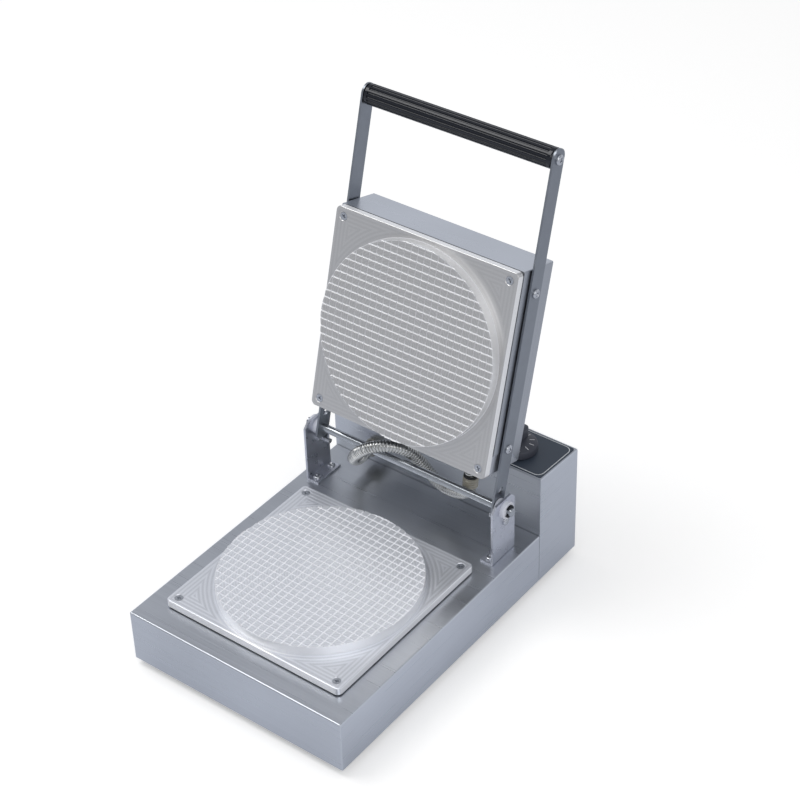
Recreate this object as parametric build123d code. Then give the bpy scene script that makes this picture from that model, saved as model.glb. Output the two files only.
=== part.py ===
from build123d import *
import math
import os

# Double-plate waffle cooker with a swing-up lid.
# Sizes are in millimetres. X runs left to right, Y from the front to the back, Z up.
# Heights are taken from the lower edge of the casing. The finished pieces are then lifted
# onto the feet and moved so that the origin is under the middle of the whole machine.

# Sheet-metal casing
body_width = 242.8
base_depth = 301.0
base_height = 55.0
sheet = 1.2
fold_radius = 1.5
return_flange = 32.0
casing_seam = 0.4
box_depth = 61.6
box_front_height = 122.7
box_rear_height = 119.2
wiring_window_width = 150.0
wiring_window_sill = 18.0

# Underside and feet
bottom_sheet = 1.2
bottom_inset = 3.0
foot_radius = 9.0
foot_height = 6.8
foot_inset = 25.0
foot_recess = 3.0
foot_screw_radius = 2.0
foot_screw_head_radius = 4.0
foot_screw_head = 2.4
vent_count = 7
vent_width = 4.0
vent_length = 60.0
vent_pitch = 12.0

# Cooking plates: square flange, round machined field with a square grid of V grooves
plate_width = 200.0
plate_front = 25.6
plate_thickness = 7.0
plate_corner = 5.0
plate_edge = 1.2
field_radius = 95.5
field_height = 9.5
groove_pitch = 7.26
groove_lines_each_side = 13
groove_width = 1.7
groove_depth = 1.1
closed_gap = 1.3
gasket_thickness = 1.5
gasket_inset = 2.5
plate_opening = 172.0
plate_screw_inset = 8.9
plate_screw_radius = 2.0
plate_screw_head_radius = 4.2
plate_screw_length = 14.0
plate_nut_radius = 4.0
plate_nut_height = 3.2
hole_clearance = 0.25
countersink_tip = 0.01
groove_overcut = 0.5

# Allowances for making the cuts: how far a cutter passes the surface, and how far a head and its
# shank run into each other
cut_overrun = 1.0
shank_overlap = 1.0

# Heating layers behind each plate
heater_width = 150.0
heater_thickness = 4.0
clamp_sheet = 1.5
clamp_margin = 3.0
insulation_thickness = 18.0
insulation_margin = 6.0
heater_tab_width = 6.3
heater_tab_length = 16.0
heater_tab_reach = 4.0
heater_tab_thickness = 0.8
heater_tab_spacing = 30.0

# Hinge line and lid angle
axle_y = 259.3
axle_height = 111.3
axle_radius = 4.0
axle_half_length = 119.5
axle_edge = 0.5
open_angle = 105.44
running_clearance = 0.05

# Lid cover and liner, given with the lid closed
cover_width = 200.0
cover_top = 139.5
cover_hinge_edge = 204.0
cover_step_height = 119.0
cover_diagonal = 14.0
cover_back_end = 222.5
liner_end = 223.0
liner_flange = 14.0

# Lifting arms, flat bars outside the cover
arm_inner_face = 101.0
arm_thickness = 2.0
arm_width = 17.4
arm_front = -84.0
arm_screw_front = 49.0
arm_screw_rear = 201.0
arm_screw_radius = 2.5
arm_screw_head_radius = 4.6
arm_screw_head = 2.6
arm_spacer_radius = 6.0
arm_nut_radius = 4.6
arm_nut_height = 3.6
arm_screw_thread_end = 1.0
sight_hole_y = 243.0
sight_hole_radius = 3.5
heel_length = 15.5
stop_gap = 0.3

# Handle
handle_y = -74.0
grip_radius = 9.8
grip_groove_count = 16
grip_groove_radius = 1.1
grip_end_gap = 0.3
grip_edge = 1.5
grip_land = 4.5
tie_rod_radius = 3.0
tie_rod_end = 2.0
handle_screw_head_radius = 5.0
handle_screw_head = 3.0

# Hinge brackets, bushes, stops and clips
ear_inner_face = 108.0
ear_thickness = 2.3
ear_front = 240.6
ear_rear = 275.3
ear_top = 122.0
ear_corner = 5.5
bracket_bend = 2.6
bracket_foot_end = 96.0
bracket_screw_x = 102.5
bracket_screw_inset = 6.3
bracket_screw_radius = 2.0
bracket_screw_head_radius = 4.0
bracket_screw_head = 2.2
bracket_screw_head_edge = 1.3
bush_radius = 8.5
bush_sleeve_radius = 6.0
bush_start = 103.4
bush_end = 114.9
bush_edge = 0.5
clip_radius = 6.2
clip_thickness = 1.1
clip_groove_radius = 3.2
clip_gap = 0.3
clip_mouth = 2.9
stop_bolt_y = 260.0
stop_bolt_z = 97.0
stop_bolt_radius = 2.5
stop_bolt_inner_end = 94.0
stop_bolt_head_radius = 4.2
stop_bolt_head = 2.8
stop_nut_radius = 4.6
stop_nut_height = 3.6

# Control panel and what is behind it
overlay_thickness = 0.6
overlay_inset = 0.4
overlay_corner = 2.5
control_x = 75.6
control_depth = 26.5
shaft_radius = 3.0
shaft_hole_radius = 4.0
knob_skirt_radius = 20.5
knob_skirt_height = 8.6
knob_skirt_draft = 1.2
knob_grip_height = 20.0
knob_grip_width = 10.0
knob_grip_length = 34.0
knob_gap = 0.8
knob_grip_edge = 1.2
knob_recess = 2.0
knob_hub_wall = 3.0
knob_hub_height = 3.0
control_body_width = 42.0
timer_depth = 40.0
thermostat_depth = 30.0
control_screw_x = 14.0
control_screw_radius = 2.0
control_screw_head_radius = 3.0
control_screw_head = 1.4
control_body_height = 36.0
lamp_x = 14.0
lamp_radius = 4.0
lamp_lens_height = 2.2
lamp_lens_edge = 1.3
lamp_flange = 1.0
lamp_body_length = 18.0
terminal_width = 50.0
terminal_depth = 16.0
terminal_height = 18.0
terminal_count = 4
terminal_screw_radius = 2.0
terminal_sill = 24.0

# Rear panel, welded in by its flanges, and mains inlet gland
rear_gap = 0.3
rear_flange = 12.0
gland_x = -75.0
gland_z = 32.0
gland_bore = 4.2
gland_thread_radius = 10.0
gland_flange_across = 24.0
gland_flange = 6.0
gland_dome_length = 14.0
gland_dome_tip_radius = 7.0
gland_nut_height = 5.0
gland_shoulder = 1.0
louvre_count = 6
louvre_length = 70.0
louvre_width = 3.0
louvre_pitch = 8.0
louvre_x = 55.0
louvre_bottom = 52.0

# Flexible hose that takes the lid's wiring over the hinge
hose_radius = 6.0
hose_bore = 4.4
hose_rib_depth = 0.8
hose_rib_pitch = 4.4
hose_rib_shape = ((0.0, 0.0), (0.2, 1.0), (0.7, 1.0), (0.9, 0.0))
hose_straight = 12.0
hose_lid_lead = 14.0
bend_share = 0.45
neighbour_diameters = 3
fitting_radius = 8.6
fitting_flange = 3.0
fitting_length = 8.0
fitting_wall = 1.3
hose_fit = 0.1
hose_box_x = -74.0
hose_box_z = 74.0
hose_lid_x = 59.5
hose_lid_z = 121.0

# Values that follow from the sizes above
half = body_width / 2
box_rear = base_depth + box_depth
plate_back = plate_front + plate_width
plate_centre = plate_front + plate_width / 2
lower_face = base_height + gasket_thickness + plate_thickness
upper_face = lower_face + 2 * field_height + closed_gap
lid_floor = upper_face + plate_thickness + gasket_thickness
panel_tilt = math.degrees(math.atan((box_front_height - box_rear_height) / box_depth))
ear_outer_face = ear_inner_face + ear_thickness
arm_outer_face = arm_inner_face + arm_thickness
overall_depth = box_rear + gland_flange + gland_dome_length
body_lift = foot_height + bottom_sheet
stop_drop = axle_height - stop_bolt_z
arm_tail_radius = stop_drop - stop_bolt_radius - 2 * stop_gap

hinge_line = Axis((0, axle_y, axle_height), (1, 0, 0))
to_frame = Pos(0, -overall_depth / 2, body_lift)
lid_open = Pos(0, axle_y, axle_height) * Rot(-open_angle, 0, 0) * Pos(0, -axle_y, -axle_height)


# Plain shapes

def slab(x0, x1, y0, y1, z0, z1):
    return Pos((x0 + x1) / 2, (y0 + y1) / 2, (z0 + z1) / 2) * Box(x1 - x0, y1 - y0, z1 - z0)


def rod_x(radius, x0, x1, y, z):
    return Pos((x0 + x1) / 2, y, z) * Rot(0, 90, 0) * Cylinder(radius, abs(x1 - x0))


def rod_y(radius, y0, y1, x, z):
    return Pos(x, (y0 + y1) / 2, z) * Rot(90, 0, 0) * Cylinder(radius, abs(y1 - y0))


def rod_z(radius, z0, z1, x=0.0, y=0.0):
    return Pos(x, y, (z0 + z1) / 2) * Cylinder(radius, abs(z1 - z0))


def hex_z(radius, z0, z1, x=0.0, y=0.0):
    return Pos(x, y, min(z0, z1)) * extrude(RegularPolygon(radius, 6), abs(z1 - z0), dir=(0, 0, 1))


def hex_x(radius, x0, x1, y, z):
    nut = extrude(RegularPolygon(radius, 6), abs(x1 - x0), dir=(0, 0, 1))
    return Pos(min(x0, x1), y, z) * Rot(0, 90, 0) * nut


def prism_x(points, x0, x1):
    outline = Plane.YZ * make_face(Polyline(*points, close=True))
    return Pos(x0, 0, 0) * extrude(outline, x1 - x0, dir=(1, 0, 0))


def both_sides(piece):
    return [piece, mirror(piece, about=Plane.YZ)]


def group(solids):
    return Compound(children=[solid for piece in solids for solid in piece.solids()])


def square_positions(half_width):
    return [(sx * half_width, sy * half_width) for sx in (-1, 1) for sy in (-1, 1)]


# Casing

def top_plate_holes(z0, z1):
    cutter = slab(-plate_opening / 2, plate_opening / 2, plate_centre - plate_opening / 2,
                  plate_centre + plate_opening / 2, z0, z1)
    for x, y in square_positions(plate_width / 2 - plate_screw_inset):
        cutter += rod_z(plate_screw_radius + hole_clearance, z0, z1, x, plate_centre + y)
    return cutter


def make_base_casing():
    back = base_depth - casing_seam
    shell = slab(-half, half, 0, back, 0, base_height)
    top_folds = shell.edges().group_by(Axis.Z)[-1].sort_by(Axis.Y)[:-1]
    front_folds = shell.edges().filter_by(Axis.Z).group_by(Axis.Y)[0]
    shell = fillet(top_folds + front_folds, fold_radius)
    shell -= slab(-half + sheet, half - sheet, sheet, back + sheet, sheet, base_height - sheet)
    shell -= slab(-half + return_flange, half - return_flange, return_flange, back + sheet,
                  -sheet, 2 * sheet)
    shell -= top_plate_holes(base_height - 2 * sheet, base_height + sheet)
    for x, y in bracket_screw_places():
        shell -= rod_z(bracket_screw_radius + hole_clearance, base_height - 2 * sheet,
                       base_height + sheet, x, y)
    return shell - foot_screw_holes(0)


def box_outline(inset):
    front = base_depth + inset
    back = box_rear + inset
    slope = (box_rear_height - box_front_height) / box_depth
    top = box_front_height - inset
    return [(front, inset), (back, inset), (back, top + slope * (back - base_depth)),
            (front, top + slope * (front - base_depth))]


def make_control_casing():
    shell = prism_x(box_outline(0), -half, half)
    front_top = shell.edges().filter_by(Axis.X).sort_by(Axis.Z)[-1]
    level = shell.edges().filter_by(Axis.X, reverse=True).filter_by(Axis.Z, reverse=True)
    sides = level.group_by(Axis.Z)[-1]
    shell = fillet([front_top] + list(sides), fold_radius)
    shell -= prism_x(box_outline(sheet), -half + sheet, half - sheet)
    shell -= slab(-half + return_flange, half - return_flange, base_depth + return_flange,
                  box_rear + sheet, -sheet, 2 * sheet)
    shell -= slab(-wiring_window_width / 2, wiring_window_width / 2, base_depth - sheet,
                  base_depth + 2 * sheet, wiring_window_sill, base_height - wiring_window_sill / 2)
    shell -= rod_y(fitting_radius - fitting_wall, base_depth - sheet, base_depth + 2 * sheet,
                   hose_box_x, hose_box_z)
    for x in (-control_x, control_x):
        shell -= on_panel(x) * rod_z(shaft_hole_radius, -2 * sheet, sheet)
        for dx in (-1, 1):
            shell -= on_panel(x) * rod_z(control_screw_radius + hole_clearance, -2 * sheet, sheet,
                                         dx * control_screw_x)
    for x in (-lamp_x, lamp_x):
        shell -= on_panel(x) * rod_z(lamp_radius, -2 * sheet, sheet)
    return shell - foot_screw_holes(0)


def panel_height(y):
    slope = (box_front_height - box_rear_height) / box_depth
    return box_front_height - slope * (y - base_depth)


def on_panel(x, depth=control_depth):
    y = base_depth + depth
    return Pos(x, y, panel_height(y)) * Rot(-panel_tilt, 0, 0)


def foot_places():
    rows = (foot_inset, box_rear - foot_inset)
    return [(sx * (half - foot_inset), y) for sx in (-1, 1) for y in rows]


def foot_screw_holes(z):
    radius = foot_screw_radius + hole_clearance
    return [rod_z(radius, z - sheet, z + 2 * sheet, x, y) for x, y in foot_places()]


def make_bottom_plate():
    plate = slab(-half + bottom_inset, half - bottom_inset, bottom_inset, box_rear - bottom_inset,
                 -bottom_sheet, 0)
    plate = fillet(plate.edges().filter_by(Axis.Z), fold_radius)
    plate -= foot_screw_holes(-bottom_sheet)
    for row in range(vent_count):
        y = plate_centre + (row - (vent_count - 1) / 2) * vent_pitch
        plate -= slab(-vent_length / 2, vent_length / 2, y - vent_width / 2, y + vent_width / 2,
                      -2 * bottom_sheet, bottom_sheet)
    return plate


def make_feet():
    feet = []
    for x, y in foot_places():
        top = -bottom_sheet
        foot = Pos(x, y, top - foot_height / 2) * Cylinder(foot_radius, foot_height)
        foot -= rod_z(foot_screw_head_radius + hole_clearance, top - foot_height, top - foot_recess, x, y)
        foot -= rod_z(foot_screw_radius + hole_clearance, top - foot_height, top, x, y)
        feet.append(foot)
    return group(feet)


def make_foot_screws():
    seat = -bottom_sheet - foot_recess
    screws = []
    for x, y in foot_places():
        head = rod_z(foot_screw_head_radius, seat - foot_screw_head, seat, x, y)
        screws.append(head + rod_z(foot_screw_radius, seat - foot_screw_head / 2, bottom_sheet, x, y))
    return group(screws)


# Cooking plates and the layers behind them, drawn with the flange face at height 0 and the
# grid field above it

def v_groove(offset, along_x):
    reach = field_radius + cut_overrun
    w = groove_width / 2 * (1 + groove_overcut)
    lip = groove_overcut * groove_depth
    profile = make_face(Polyline((-w, lip), (w, lip), (0, -groove_depth), close=True))
    bar = Pos(0, reach, 0) * Rot(90, 0, 0) * extrude(profile, 2 * reach, dir=(0, 0, 1))
    bar = Pos(offset, 0, field_height) * bar
    return Rot(0, 0, 90) * bar if along_x else bar


def grid_plate():
    plate = slab(-plate_width / 2, plate_width / 2, -plate_width / 2, plate_width / 2, -plate_thickness, 0)
    plate = fillet(plate.edges().filter_by(Axis.Z), plate_corner)
    plate = fillet(plate.faces().sort_by(Axis.Z)[-1].edges(), plate_edge)
    field = rod_z(field_radius, -plate_thickness / 2, field_height)
    offsets = [i * groove_pitch for i in range(-groove_lines_each_side, groove_lines_each_side + 1)]
    field -= [v_groove(offset, False) for offset in offsets]
    field -= [v_groove(offset, True) for offset in offsets]
    plate += field
    for x, y in square_positions(plate_width / 2 - plate_screw_inset):
        plate -= rod_z(plate_screw_radius + hole_clearance, -2 * plate_thickness, cut_overrun, x, y)
        plate -= Pos(x, y, 0) * countersink(plate_screw_head_radius + hole_clearance)
    return plate


def countersink(radius):
    return Pos(0, 0, -radius / 2) * Cone(countersink_tip, radius, radius)


def plate_gasket():
    outer = plate_width - 2 * gasket_inset
    ring = Rectangle(outer, outer) - Rectangle(plate_opening, plate_opening)
    gasket = Pos(0, 0, -plate_thickness - gasket_thickness) * extrude(ring, gasket_thickness, dir=(0, 0, 1))
    for x, y in square_positions(plate_width / 2 - plate_screw_inset):
        gasket -= rod_z(plate_screw_radius + hole_clearance, -2 * plate_thickness, 0, x, y)
    return gasket


def plate_screws():
    screws = []
    for x, y in square_positions(plate_width / 2 - plate_screw_inset):
        head = Pos(x, y, -hole_clearance) * countersink(plate_screw_head_radius)
        screws.append(head + rod_z(plate_screw_radius, -plate_screw_length, -shank_overlap, x, y))
    return group(screws)


def plate_nuts():
    top = -plate_thickness - gasket_thickness - sheet
    nuts = []
    for x, y in square_positions(plate_width / 2 - plate_screw_inset):
        nut = hex_z(plate_nut_radius, top, top - plate_nut_height, x, y)
        nuts.append(nut - rod_z(plate_screw_radius + running_clearance, top - 2 * plate_nut_height,
                                cut_overrun, x, y))
    return group(nuts)


def heater():
    top = -plate_thickness
    w = heater_width / 2
    body = slab(-w, w, -w, w, top - heater_thickness, top)
    for x in (-heater_tab_spacing / 2, heater_tab_spacing / 2):
        tab_y = w + heater_tab_reach
        body += slab(x - heater_tab_width / 2, x + heater_tab_width / 2, w, tab_y,
                     top - heater_thickness, top - heater_thickness / 2)
        body += slab(x - heater_tab_width / 2, x + heater_tab_width / 2, tab_y - heater_tab_thickness, tab_y,
                     top - heater_tab_length, top - heater_thickness / 2)
    return body


def heater_clamp():
    top = -plate_thickness - heater_thickness
    w = heater_width / 2 - clamp_margin
    return slab(-w, w, -w, w, top - clamp_sheet, top)


def insulation():
    top = -plate_thickness - heater_thickness - clamp_sheet
    w = heater_width / 2 - insulation_margin
    return slab(-w, w, -w, w, top - insulation_thickness, top)


lower_place = Pos(0, plate_centre, lower_face)
upper_place = Pos(0, plate_centre, upper_face) * Rot(0, 180, 0)


# Lid, drawn closed

def make_lid_cover():
    y0 = plate_front
    corner = cover_hinge_edge + cover_diagonal
    outline = [(y0, lid_floor), (cover_hinge_edge, lid_floor), (cover_hinge_edge, cover_step_height),
               (corner, cover_step_height + cover_diagonal), (cover_back_end, cover_top), (y0, cover_top)]
    w = cover_width / 2
    cover = prism_x(outline, -w, w)
    front_folds = cover.edges().filter_by(Axis.Z).group_by(Axis.Y)[0]
    top_folds = cover.edges().group_by(Axis.Z)[-1].sort_by(Axis.Y)[:-1]
    cover = fillet(front_folds + top_folds, fold_radius)
    cover -= slab(-w + sheet, w - sheet, y0 + sheet, liner_end + sheet,
                  lid_floor - sheet, cover_top - sheet)
    for x, y, z in arm_screw_places():
        cover -= rod_x(arm_screw_radius + hole_clearance, x - 3 * sheet, x + 3 * sheet, y, z)
    return cover


def make_lid_liner():
    w = cover_width / 2 - sheet
    y0 = plate_front + sheet
    top = cover_top - sheet
    liner = slab(-w, w, y0, liner_end, lid_floor, top)
    liner -= slab(-w + sheet, w - sheet, y0 + sheet, liner_end - sheet, lid_floor + sheet, top + sheet)
    liner -= top_plate_holes(lid_floor - sheet, lid_floor + 2 * sheet)
    for x, y, z in arm_screw_places():
        liner -= rod_x(arm_screw_radius + hole_clearance, x - 4 * sheet, x + 4 * sheet, y, z)
    return liner - rod_y(fitting_radius - fitting_wall, liner_end - 2 * sheet, liner_end + sheet,
                         hose_lid_x, hose_lid_z)


def arm_screw_places():
    x = cover_width / 2
    return [(sx * x, y, axle_height) for sx in (-1, 1) for y in (arm_screw_front, arm_screw_rear)]


def make_arm():
    half_width = arm_width / 2
    heel_face = stop_heel_offset() + stop_bolt_radius + stop_gap
    tail = math.sqrt(arm_tail_radius ** 2 - half_width ** 2)
    tail_top = math.sqrt(arm_tail_radius ** 2 - heel_face ** 2)
    front = arm_front + half_width - axle_y
    edge = [Line((front, -half_width), (tail, -half_width)),
            ThreePointArc((tail, -half_width), (arm_tail_radius, 0), (tail_top, heel_face)),
            Polyline((tail_top, heel_face), (heel_length, heel_face), (heel_length, half_width),
                     (front, half_width)),
            ThreePointArc((front, half_width), (front - half_width, 0), (front, -half_width))]
    arm = Plane.YZ * make_face(edge)
    arm = Pos(arm_inner_face, axle_y, axle_height) * extrude(arm, arm_thickness, dir=(1, 0, 0))
    holes = [(axle_y, axle_radius + running_clearance), (sight_hole_y, sight_hole_radius),
             (handle_y, tie_rod_radius + running_clearance)]
    holes += [(y, arm_screw_radius + hole_clearance) for y in (arm_screw_front, arm_screw_rear)]
    for y, radius in holes:
        arm -= rod_x(radius, arm_inner_face - cut_overrun, arm_outer_face + cut_overrun, y, axle_height)
    return arm


def stop_heel_offset():
    turn = math.radians(open_angle)
    return (stop_bolt_y - axle_y) * math.sin(turn) - stop_drop * math.cos(turn)


def make_arm_spacers():
    ring = [rod_x(arm_spacer_radius, cover_width / 2, arm_inner_face, y, axle_height)
            - rod_x(arm_screw_radius + hole_clearance, cover_width / 2 - cut_overrun,
                    arm_inner_face + cut_overrun, y, axle_height)
            for y in (arm_screw_front, arm_screw_rear)]
    return group([side for piece in ring for side in both_sides(piece)])


def make_arm_screws():
    screws = []
    inner_end = cover_width / 2 - 2 * sheet - arm_nut_height - arm_screw_thread_end
    for y in (arm_screw_front, arm_screw_rear):
        head = rod_x(arm_screw_head_radius, arm_outer_face, arm_outer_face + arm_screw_head,
                     y, axle_height)
        head = chamfer(head.edges().filter_by(GeomType.CIRCLE).sort_by(Axis.X)[-1], arm_screw_head / 2)
        screws += both_sides(head + rod_x(arm_screw_radius, inner_end, arm_outer_face + shank_overlap,
                                          y, axle_height))
    return group(screws)


def make_arm_nuts():
    nuts = []
    seat = cover_width / 2 - 2 * sheet
    for y in (arm_screw_front, arm_screw_rear):
        nut = hex_x(arm_nut_radius, seat - arm_nut_height, seat, y, axle_height)
        nuts += both_sides(nut - rod_x(arm_screw_radius + running_clearance, seat - 2 * arm_nut_height,
                                       seat + cut_overrun, y, axle_height))
    return group(nuts)


def make_handle_grip():
    end = arm_inner_face - grip_end_gap
    grip = rod_x(grip_radius, -end, end, handle_y, axle_height)
    grip = chamfer(grip.edges().filter_by(GeomType.CIRCLE), grip_edge)
    for i in range(grip_groove_count):
        turn = math.tau * i / grip_groove_count
        y = handle_y + grip_radius * math.cos(turn)
        z = axle_height + grip_radius * math.sin(turn)
        grip -= rod_x(grip_groove_radius, -end + grip_land, end - grip_land, y, z)
    return grip - rod_x(tie_rod_radius + running_clearance, -end - cut_overrun, end + cut_overrun,
                        handle_y, axle_height)


def make_handle_rod():
    end = arm_outer_face + tie_rod_end
    return rod_x(tie_rod_radius, -end, end, handle_y, axle_height)


def make_handle_screws():
    head = rod_x(handle_screw_head_radius, arm_outer_face, arm_outer_face + handle_screw_head,
                 handle_y, axle_height)
    head = chamfer(head.edges().filter_by(GeomType.CIRCLE).sort_by(Axis.X)[-1], handle_screw_head / 2)
    head -= rod_x(tie_rod_radius + running_clearance, arm_outer_face - cut_overrun,
                  arm_outer_face + tie_rod_end + running_clearance, handle_y, axle_height)
    return group(both_sides(head))


# Hinge

def make_axle():
    rod = rod_x(axle_radius, -axle_half_length, axle_half_length, axle_y, axle_height)
    rod = chamfer(rod.edges().filter_by(GeomType.CIRCLE), axle_edge)
    for side in (-1, 1):
        x = side * (bush_end + clip_gap)
        groove = rod_x(axle_radius + cut_overrun, x, x + side * clip_thickness, axle_y, axle_height)
        core = rod_x(clip_groove_radius, x - side * cut_overrun,
                     x + side * (clip_thickness + cut_overrun), axle_y, axle_height)
        rod -= groove - core
    return rod


def make_axle_clips():
    x = bush_end + clip_gap
    clip = rod_x(clip_radius, x, x + clip_thickness, axle_y, axle_height)
    inner, outer = x - cut_overrun, x + clip_thickness + cut_overrun
    clip -= rod_x(clip_groove_radius, inner, outer, axle_y, axle_height)
    clip -= slab(inner, outer, axle_y - clip_mouth, axle_y + clip_mouth, axle_height - 2 * clip_radius,
                 axle_height)
    return group(both_sides(clip))


def bracket_screw_places():
    rows = (ear_front + bracket_screw_inset, ear_rear - bracket_screw_inset)
    return [(sx * bracket_screw_x, y) for sx in (-1, 1) for y in rows]


def make_bracket():
    bracket = slab(bracket_foot_end, ear_outer_face, ear_front, ear_rear, base_height, ear_top)
    top_corners = bracket.edges().filter_by(Axis.X).group_by(Axis.Z)[-1]
    bracket = chamfer(top_corners, ear_corner)
    bracket -= slab(bracket_foot_end - cut_overrun, ear_inner_face, ear_front - cut_overrun,
                    ear_rear + cut_overrun, base_height + ear_thickness, ear_top + cut_overrun)
    heel = bracket.edges().filter_by(Axis.Y).group_by(Axis.Z)[0].sort_by(Axis.X)[-1]
    bracket = fillet(heel, bracket_bend)
    inner, outer = ear_inner_face - cut_overrun, ear_outer_face + cut_overrun
    bracket -= rod_x(bush_sleeve_radius + running_clearance, inner, outer, axle_y, axle_height)
    bracket -= rod_x(stop_bolt_radius + running_clearance, inner, outer, stop_bolt_y, stop_bolt_z)
    for x, y in bracket_screw_places():
        bracket -= rod_z(bracket_screw_radius + hole_clearance, base_height - cut_overrun,
                         base_height + 2 * ear_thickness, x, y)
    return bracket


def make_bracket_screws():
    seat = base_height + ear_thickness
    screws = []
    for x, y in bracket_screw_places():
        head = rod_z(bracket_screw_head_radius, seat, seat + bracket_screw_head, x, y)
        rim = head.edges().filter_by(GeomType.CIRCLE).sort_by(Axis.Z)[-1]
        head = chamfer(rim, bracket_screw_head_edge)
        screws.append(head + rod_z(bracket_screw_radius, base_height - 4 * sheet, seat + shank_overlap,
                                   x, y))
    return group(screws)


def make_inner_bushes():
    bush = rod_x(bush_radius, bush_start, ear_inner_face, axle_y, axle_height)
    bush += rod_x(bush_sleeve_radius, ear_inner_face - shank_overlap, ear_outer_face, axle_y, axle_height)
    bush -= rod_x(axle_radius + running_clearance, bush_start - cut_overrun, ear_outer_face + cut_overrun,
                  axle_y, axle_height)
    return group(both_sides(bush))


def make_outer_bushes():
    bush = rod_x(bush_radius, ear_outer_face, bush_end, axle_y, axle_height)
    bush = chamfer(bush.edges().filter_by(GeomType.CIRCLE).sort_by(Axis.X)[-1], bush_edge)
    bush -= rod_x(axle_radius + running_clearance, ear_outer_face - cut_overrun, bush_end + cut_overrun,
                  axle_y, axle_height)
    return group(both_sides(bush))


def make_stop_bolts():
    head = rod_x(stop_bolt_head_radius, ear_outer_face, ear_outer_face + stop_bolt_head,
                 stop_bolt_y, stop_bolt_z)
    head = chamfer(head.edges().filter_by(GeomType.CIRCLE).sort_by(Axis.X)[-1], stop_bolt_head / 2)
    shank = rod_x(stop_bolt_radius, stop_bolt_inner_end, ear_outer_face + shank_overlap,
                  stop_bolt_y, stop_bolt_z)
    return group(both_sides(head + shank))


def make_stop_nuts():
    nut = hex_x(stop_nut_radius, ear_inner_face - stop_nut_height, ear_inner_face,
                stop_bolt_y, stop_bolt_z)
    nut -= rod_x(stop_bolt_radius + running_clearance, bush_start, ear_inner_face + cut_overrun,
                 stop_bolt_y, stop_bolt_z)
    return group(both_sides(nut))


# Control box fittings

def make_overlay():
    width = body_width - 2 * (fold_radius + overlay_inset)
    depth = box_depth - 2 * (fold_radius + overlay_inset)
    sheet_shape = RectangleRounded(width, depth, overlay_corner)
    overlay = on_panel(0, box_depth / 2) * extrude(sheet_shape, overlay_thickness, dir=(0, 0, 1))
    below, above = -cut_overrun, overlay_thickness + cut_overrun
    for x in (-control_x, control_x):
        overlay -= on_panel(x) * rod_z(shaft_hole_radius, below, above)
        for dx in (-1, 1):
            overlay -= on_panel(x) * rod_z(control_screw_radius + hole_clearance, below, above,
                                           dx * control_screw_x)
    for x in (-lamp_x, lamp_x):
        overlay -= on_panel(x) * rod_z(lamp_radius, below, above)
    return overlay


def make_control_body(x, depth):
    w = control_body_width / 2
    body = slab(-w, w, -control_body_height / 2, control_body_height / 2, -sheet - depth, -sheet)
    body = fillet(body.edges().filter_by(Axis.Z), fold_radius * 2)
    body -= rod_z(shaft_radius + running_clearance, -sheet - depth / 2, 0)
    for dx in (-1, 1):
        body -= rod_z(control_screw_radius + running_clearance, -7 * sheet, 0, dx * control_screw_x)
    return on_panel(x) * body


def make_control_screws():
    screws = []
    for x in (-control_x, control_x):
        for dx in (-1, 1):
            shaft = rod_z(control_screw_radius, -5 * sheet, overlay_thickness, dx * control_screw_x)
            head = rod_z(control_screw_head_radius, overlay_thickness, overlay_thickness + control_screw_head,
                         dx * control_screw_x)
            screws.append(on_panel(x) * (shaft + head))
    return group(screws)


def make_knob(x):
    bottom = overlay_thickness + knob_gap
    skirt_top = knob_skirt_height
    skirt = Cone(knob_skirt_radius, knob_skirt_radius - knob_skirt_draft, skirt_top - bottom)
    knob = Pos(0, 0, (bottom + skirt_top) / 2) * skirt
    half_grip = knob_grip_length / 2
    bar = extrude(SlotOverall(knob_grip_length, knob_grip_width),
                  knob_grip_height - skirt_top + shank_overlap, dir=(0, 0, 1))
    bar = chamfer(bar.faces().sort_by(Axis.Z)[-1].edges(), knob_grip_edge)
    knob += Pos(0, 0, skirt_top - shank_overlap) * Rot(0, 0, 90) * bar
    knob -= rod_z(half_grip, bottom - cut_overrun, bottom + knob_recess)
    knob += rod_z(shaft_radius + knob_hub_wall, bottom, bottom + knob_hub_height)
    knob -= rod_z(shaft_radius + running_clearance, 0, knob_skirt_height)
    return on_panel(x) * knob


def make_shaft(x, depth):
    bottom = -sheet - depth / 2 + running_clearance
    return on_panel(x) * rod_z(shaft_radius, bottom, knob_skirt_height)


def make_lamps():
    lamps = []
    for x in (-lamp_x, lamp_x):
        lens = rod_z(lamp_radius + lamp_flange, overlay_thickness, overlay_thickness + lamp_lens_height)
        lens = chamfer(lens.edges().filter_by(GeomType.CIRCLE).sort_by(Axis.Z)[-1], lamp_lens_edge)
        body = rod_z(lamp_radius - running_clearance, -lamp_body_length, overlay_thickness + shank_overlap)
        lamps.append(on_panel(x) * (lens + body))
    return group(lamps)


def make_terminal_block():
    bottom = terminal_sill + base_height
    top = bottom + terminal_height
    front = base_depth + sheet
    block = slab(-terminal_width / 2, terminal_width / 2, front, front + terminal_depth, bottom, top)
    for i in range(terminal_count):
        x = (i - (terminal_count - 1) / 2) * terminal_width / terminal_count
        block -= rod_z(terminal_screw_radius, (bottom + top) / 2, top + cut_overrun, x,
                       front + terminal_depth / 2)
    return block


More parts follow.
